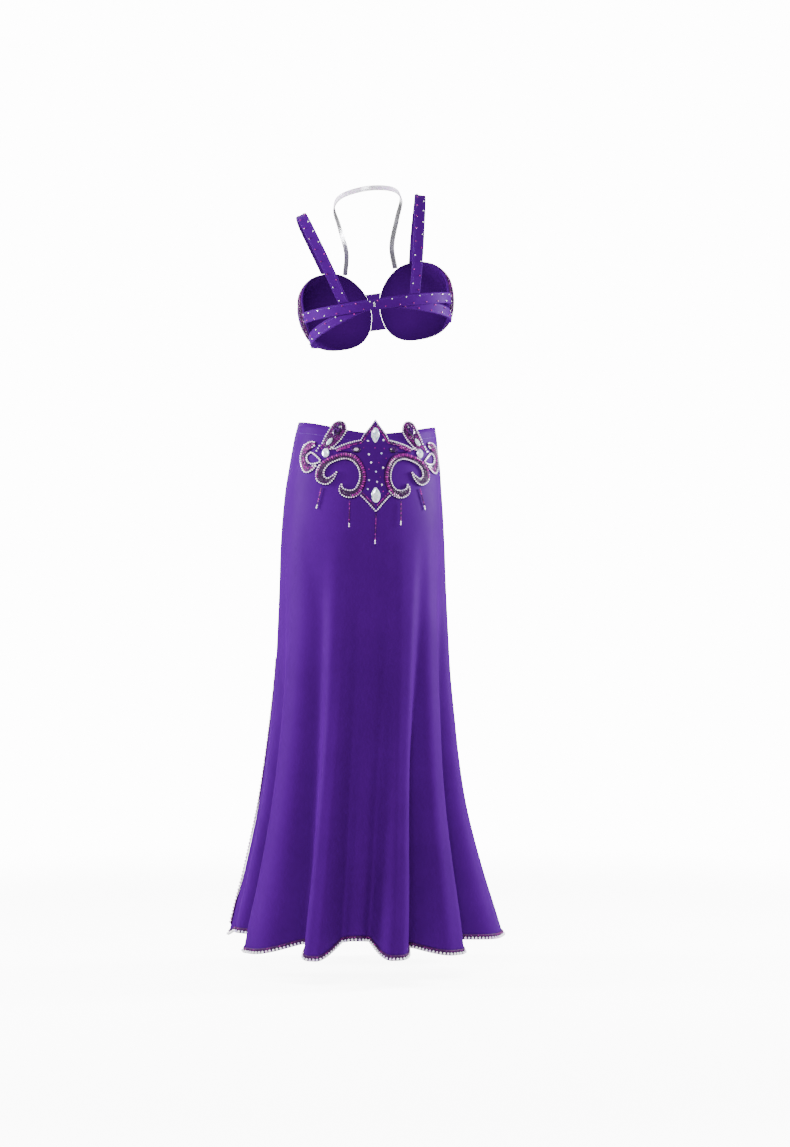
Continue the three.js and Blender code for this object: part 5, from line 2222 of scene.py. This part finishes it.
    def cup_edging(self, side: int, name: str, angle: Array) -> None:
        """The plum tape round a cup with its three rows of beads."""
        low, high = (
            np.stack([self.cup_ring(side, share, angle, above) for share in self.edging], axis=1)
            for above in (0.3, 1.4)
        )
        uv = np.stack(np.broadcast_arrays(angle[:, None] * 60, np.array([0, 2.5, 5, 7.5])[None, :]), axis=-1)
        tape = wall_object(f"{name}_tape", high, low, uv, True)
        self.dresser.piece(tape, "beads", self.dresser.finishes.tape, name)
        rows = []
        for share, above, start in self.edging_beads:
            line = self.cup_ring(side, share, angle, above)
            far = self.cup_ring(side, share, angle, above + 1)
            where = spaced(line, self.edging_pitch, ring=True, start=start)
            run = pick(np.roll(line, -1, axis=0) - line, where)
            tone = self.setter.tones(len(where), 0.05, 0.65)
            rows.append(StoneRow.even(pick(line, where), pick(far - line, where), run, (3.0, 3.0, 2.9), tone))
        self.stones(f"{name}_beads", rows, StoneKind.ROUND_BEAD)

    def flat_cup_map(self, made: bpy.types.Object) -> None:
        """Gives a cup flat coordinates from its own height and width, for the knit."""
        points = np.zeros(len(made.data.vertices) * 3, np.float32)
        made.data.vertices.foreach_get("co", points)
        points = points.reshape(-1, 3)
        loops = np.zeros(len(made.data.loops), np.int32)
        made.data.loops.foreach_get("vertex_index", loops)
        flat = np.stack([points[:, 0] * 1.3, points[:, 2]], axis=-1)[loops]
        layer = made.data.uv_layers.new(name="cloth")
        layer.data.foreach_set("uv", flat.astype(np.float32).ravel())

    def bridge(self) -> None:
        """The centre front piece between the cups."""
        ups = np.linspace(self.bridge_low, self.bridge_high, 30)
        places = np.linspace(-1, 1, 13)
        reach = self.cup_edge(ups, -1) - self.seam
        angle = np.radians(180 - places[:, None] * reach[None, :])
        up = np.broadcast_to(ups[None, :], angle.shape)
        outer = self.body.world(self.body.chest(angle, up, self.cup_wall))
        inner = self.body.world(self.body.chest(angle, up, 0.0))
        uv = np.stack([np.broadcast_to(places[:, None] * 15, angle.shape), up], axis=-1)
        made = wall_object("bridge_cloth", outer, inner, uv)
        self.dresser.piece(made, "satin", self.dresser.finishes.satin, "bridge")

    def halter_path(self) -> tuple:
        """The halter's stations from the left cup to the right one.

        Returns:
            Points, directions across, directions out and shares of the length.
        """
        first = HALTER_KNOTS[0].up
        knots = {}
        for side in (1, -1):
            knots[side] = [
                [side * k.across + self.halter_centre * min(max((k.up - first) / 110, 0), 1), k.back, k.up]
                for k in HALTER_KNOTS
            ]
        nape = [[self.halter_centre, 56.0, 215.0]]
        line = curve_through(np.array(knots[1] + nape + knots[-1][::-1]), 600)
        run = unit(np.gradient(line, axis=0))
        away = np.stack([line[:, 0] - self.halter_centre, line[:, 1], np.full(len(line), 14.0)], axis=-1)
        across = unit(np.cross(away, run))
        out = unit(np.cross(run, across))
        length = np.concatenate([[0], np.cumsum(np.linalg.norm(np.diff(line, axis=0), axis=1))])
        return line, across, out, length / length[-1]

    def halter(self) -> None:
        """The crystal halter: a tape in three lengths, each covered with rows of stones."""
        line, across, out, share = self.halter_path()
        cuts = (
            ("halter_arm_left", 0.0, self.arm_share),
            ("halter_band", self.arm_share + self.arm_gap, 1 - self.arm_share - self.arm_gap),
            ("halter_arm_right", 1 - self.arm_share, 1.0),
        )
        for name, low, high in cuts:
            wanted = np.linspace(low, high, 110)
            where = np.minimum(np.interp(wanted, share, np.arange(len(line))), len(line) - 1.001)
            at, side, lift = pick(line, where), unit(pick(across, where)), unit(pick(out, where))
            made = self.ribbon(f"{name}_tape", at, side, lift, self.halter_height - 0.6, 1.1)
            self.dresser.piece(made, "clear_stone", self.dresser.finishes.wire, name)
            rows = []
            for k, place in enumerate(self.halter_rows):
                spots = self.body.world(at + side * place + lift * 1.0)
                ups = self.body.world(at + side * place + lift * 2.0) - spots
                look = RowLook(0.0, 0.0, 2.6, (2.5, 2.5, 1.5), (0.0, 0.8), 0.5 if k % 2 else 0.25)
                rows.append(self.stones_on(spots, ups, look))
            self.stones(f"{name}_crystals", rows, StoneKind.CRYSTAL)

    def hook(self) -> None:
        """A small bent wire hook that closes the back band."""
        above = self.over_layer + self.band + 2 * self.hook_wire
        parts = []
        for label, rise in (("upper", 2.4), ("lower", -2.4)):
            turn = np.linspace(0, math.pi, 14)
            bend = np.stack([self.band_seam + 1.0 * np.sin(turn) + 0.2, rise - 1.1 * np.cos(turn)], axis=-1)
            tail = np.stack([np.linspace(self.band_seam - 1.4, self.band_seam, 6), np.full(6, rise - 1.1)], axis=-1)
            flat = np.vstack([tail, bend, tail[::-1] + np.array([0.0, 2.2])])
            path = self.body.world(self.body.chest(np.radians(flat[:, 0]), flat[:, 1], above))
            parts.append(tube_object(f"hook_{label}", path, self.hook_wire))
        made = joined("band_hook_wire", parts)
        self.dresser.piece(made, "hook_metal", self.dresser.finishes.wire, "band_hook")

    def upper_line(self, degrees: Array) -> Array:
        """Middle line of the upper band, which is level."""
        return np.zeros(np.shape(degrees))

    def build(self) -> None:
        """Builds the whole bra top."""
        self.cup(1, "left")
        self.cup(-1, "right")
        self.back_band("back_band_left", self.band_seam + self.seam, 1, self.upper_line, self.over_layer)
        self.back_band("back_band_right", self.band_seam, -1, self.upper_line, self.over_layer)
        self.back_band("lower_band_left", self.lower_start, 1, self.lower_line(self.left_drop), 0.0)
        self.back_band("lower_band_right", -self.lower_start, -1, self.lower_line(self.right_drop), 0.0)
        self.hook()
        self.bridge()
        self.halter()
        for strap in STRAP_SIDES:
            self.strap(strap)


# Studio


LIGHTS = (
    ("top", (0.9, 2.8, 2.5), (1.6, 1.6), 92, (0, 0, -0.3)),
    ("hip_fill", (0.25, 1.4, 0.75), (0.7, 0.7), 30, (0, 0, 0.03)),
    ("left_strip", (1.7, -0.2, 0.3), (0.4, 0.8), 118, (0, 0, -0.15)),
    ("right_strip", (-1.7, -0.1, 0.3), (0.4, 0.8), 138, (0, 0, -0.15)),
    ("front_fill", (0.4, -3.4, 1.4), (2.4, 2.4), 120, (0, 0, -0.35)),
)


@dataclass
class Studio:
    """Pale floor, soft lights and the camera at the picture's angle."""

    turn: float = 8.0
    distance: float = 4500.0
    level: float = -265.0
    aside: float = 50.0
    per_pixel: float = 1.85
    picture_height: int = 1147
    floor_level: float = -1.0
    seen_strength: float = 14.0
    lit_strength: float = 0.25

    def camera(self) -> None:
        """Places the camera behind the dress."""
        data = bpy.data.cameras.new("camera")
        half = self.picture_height / 2 * self.per_pixel / self.distance
        data.sensor_width = 36
        data.lens = 18 / half
        data.clip_end = 60
        made = bpy.data.objects.new("camera", data)
        bpy.context.scene.collection.objects.link(made)
        turn = math.radians(self.turn)
        back = Vector((math.sin(turn), math.cos(turn), 0))
        right = Vector((-math.cos(turn), math.sin(turn), 0))
        made.location = (back * self.distance + right * self.aside) * MM + Vector((0, 0, self.level * MM))
        made.rotation_euler = (-back).to_track_quat("-Z", "Y").to_euler()
        bpy.context.scene.camera = made

    def light(self, name: str, place: tuple, size: tuple, power: float, target: tuple) -> None:
        """Adds a soft area light that faces a point."""
        data = bpy.data.lights.new(name, "AREA")
        data.shape = "RECTANGLE"
        data.size, data.size_y = size
        data.energy = power
        made = bpy.data.objects.new(name, data)
        made.location = place
        made.rotation_euler = (Vector(target) - Vector(place)).to_track_quat("-Z", "Y").to_euler()
        bpy.context.scene.collection.objects.link(made)

    def floor(self) -> None:
        """Adds the floor."""
        size = 3.0
        corners = np.array([[-size, -size], [size, -size], [size, size], [-size, size]]) / MM
        points = np.column_stack([corners, np.full(4, self.floor_level / MM)])
        made = new_object("floor", points, [(0, 1, 2, 3)])
        made.data.materials.append(StudioPaint().make())

    def world(self) -> None:
        """Sets an even white surround that lights the dress less than it shows."""
        world = bpy.data.worlds.new("studio")
        bpy.context.scene.world = world
        world.use_nodes = True
        board = NodeBoard(world.node_tree)
        seen = world.node_tree.nodes["Background"]
        seen.inputs["Color"].default_value = (1, 1, 1, 1)
        seen.inputs["Strength"].default_value = self.seen_strength
        lit = board.add("ShaderNodeBackground", {"Color": (1, 1, 1, 1), "Strength": self.lit_strength})
        path = board.add("ShaderNodeLightPath")
        both = board.add(
            "ShaderNodeMixShader", {0: path.outputs["Is Camera Ray"], 1: lit.outputs[0], 2: seen.outputs[0]}
        )
        board.tree.links.new(both.outputs[0], world.node_tree.nodes["World Output"].inputs["Surface"])

    def build(self) -> None:
        """Builds the studio."""
        self.camera()
        self.floor()
        self.world()
        for name, place, size, power, target in LIGHTS:
            self.light(name, place, size, power, target)


def main() -> None:
    """Builds the dress and its studio."""
    logging.basicConfig(level=logging.INFO, format="%(message)s")
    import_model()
    Studio().build()
    finishes = Finishes()
    dresser, setter = Dresser(finishes), StoneSetter()
    cloth = SkirtCloth()
    Skirt(dresser, setter, cloth).build()
    Applique(dresser, setter, cloth).build()
    BraTop(dresser, setter, UpperBody()).build()


if __name__ == "__main__":
    main()
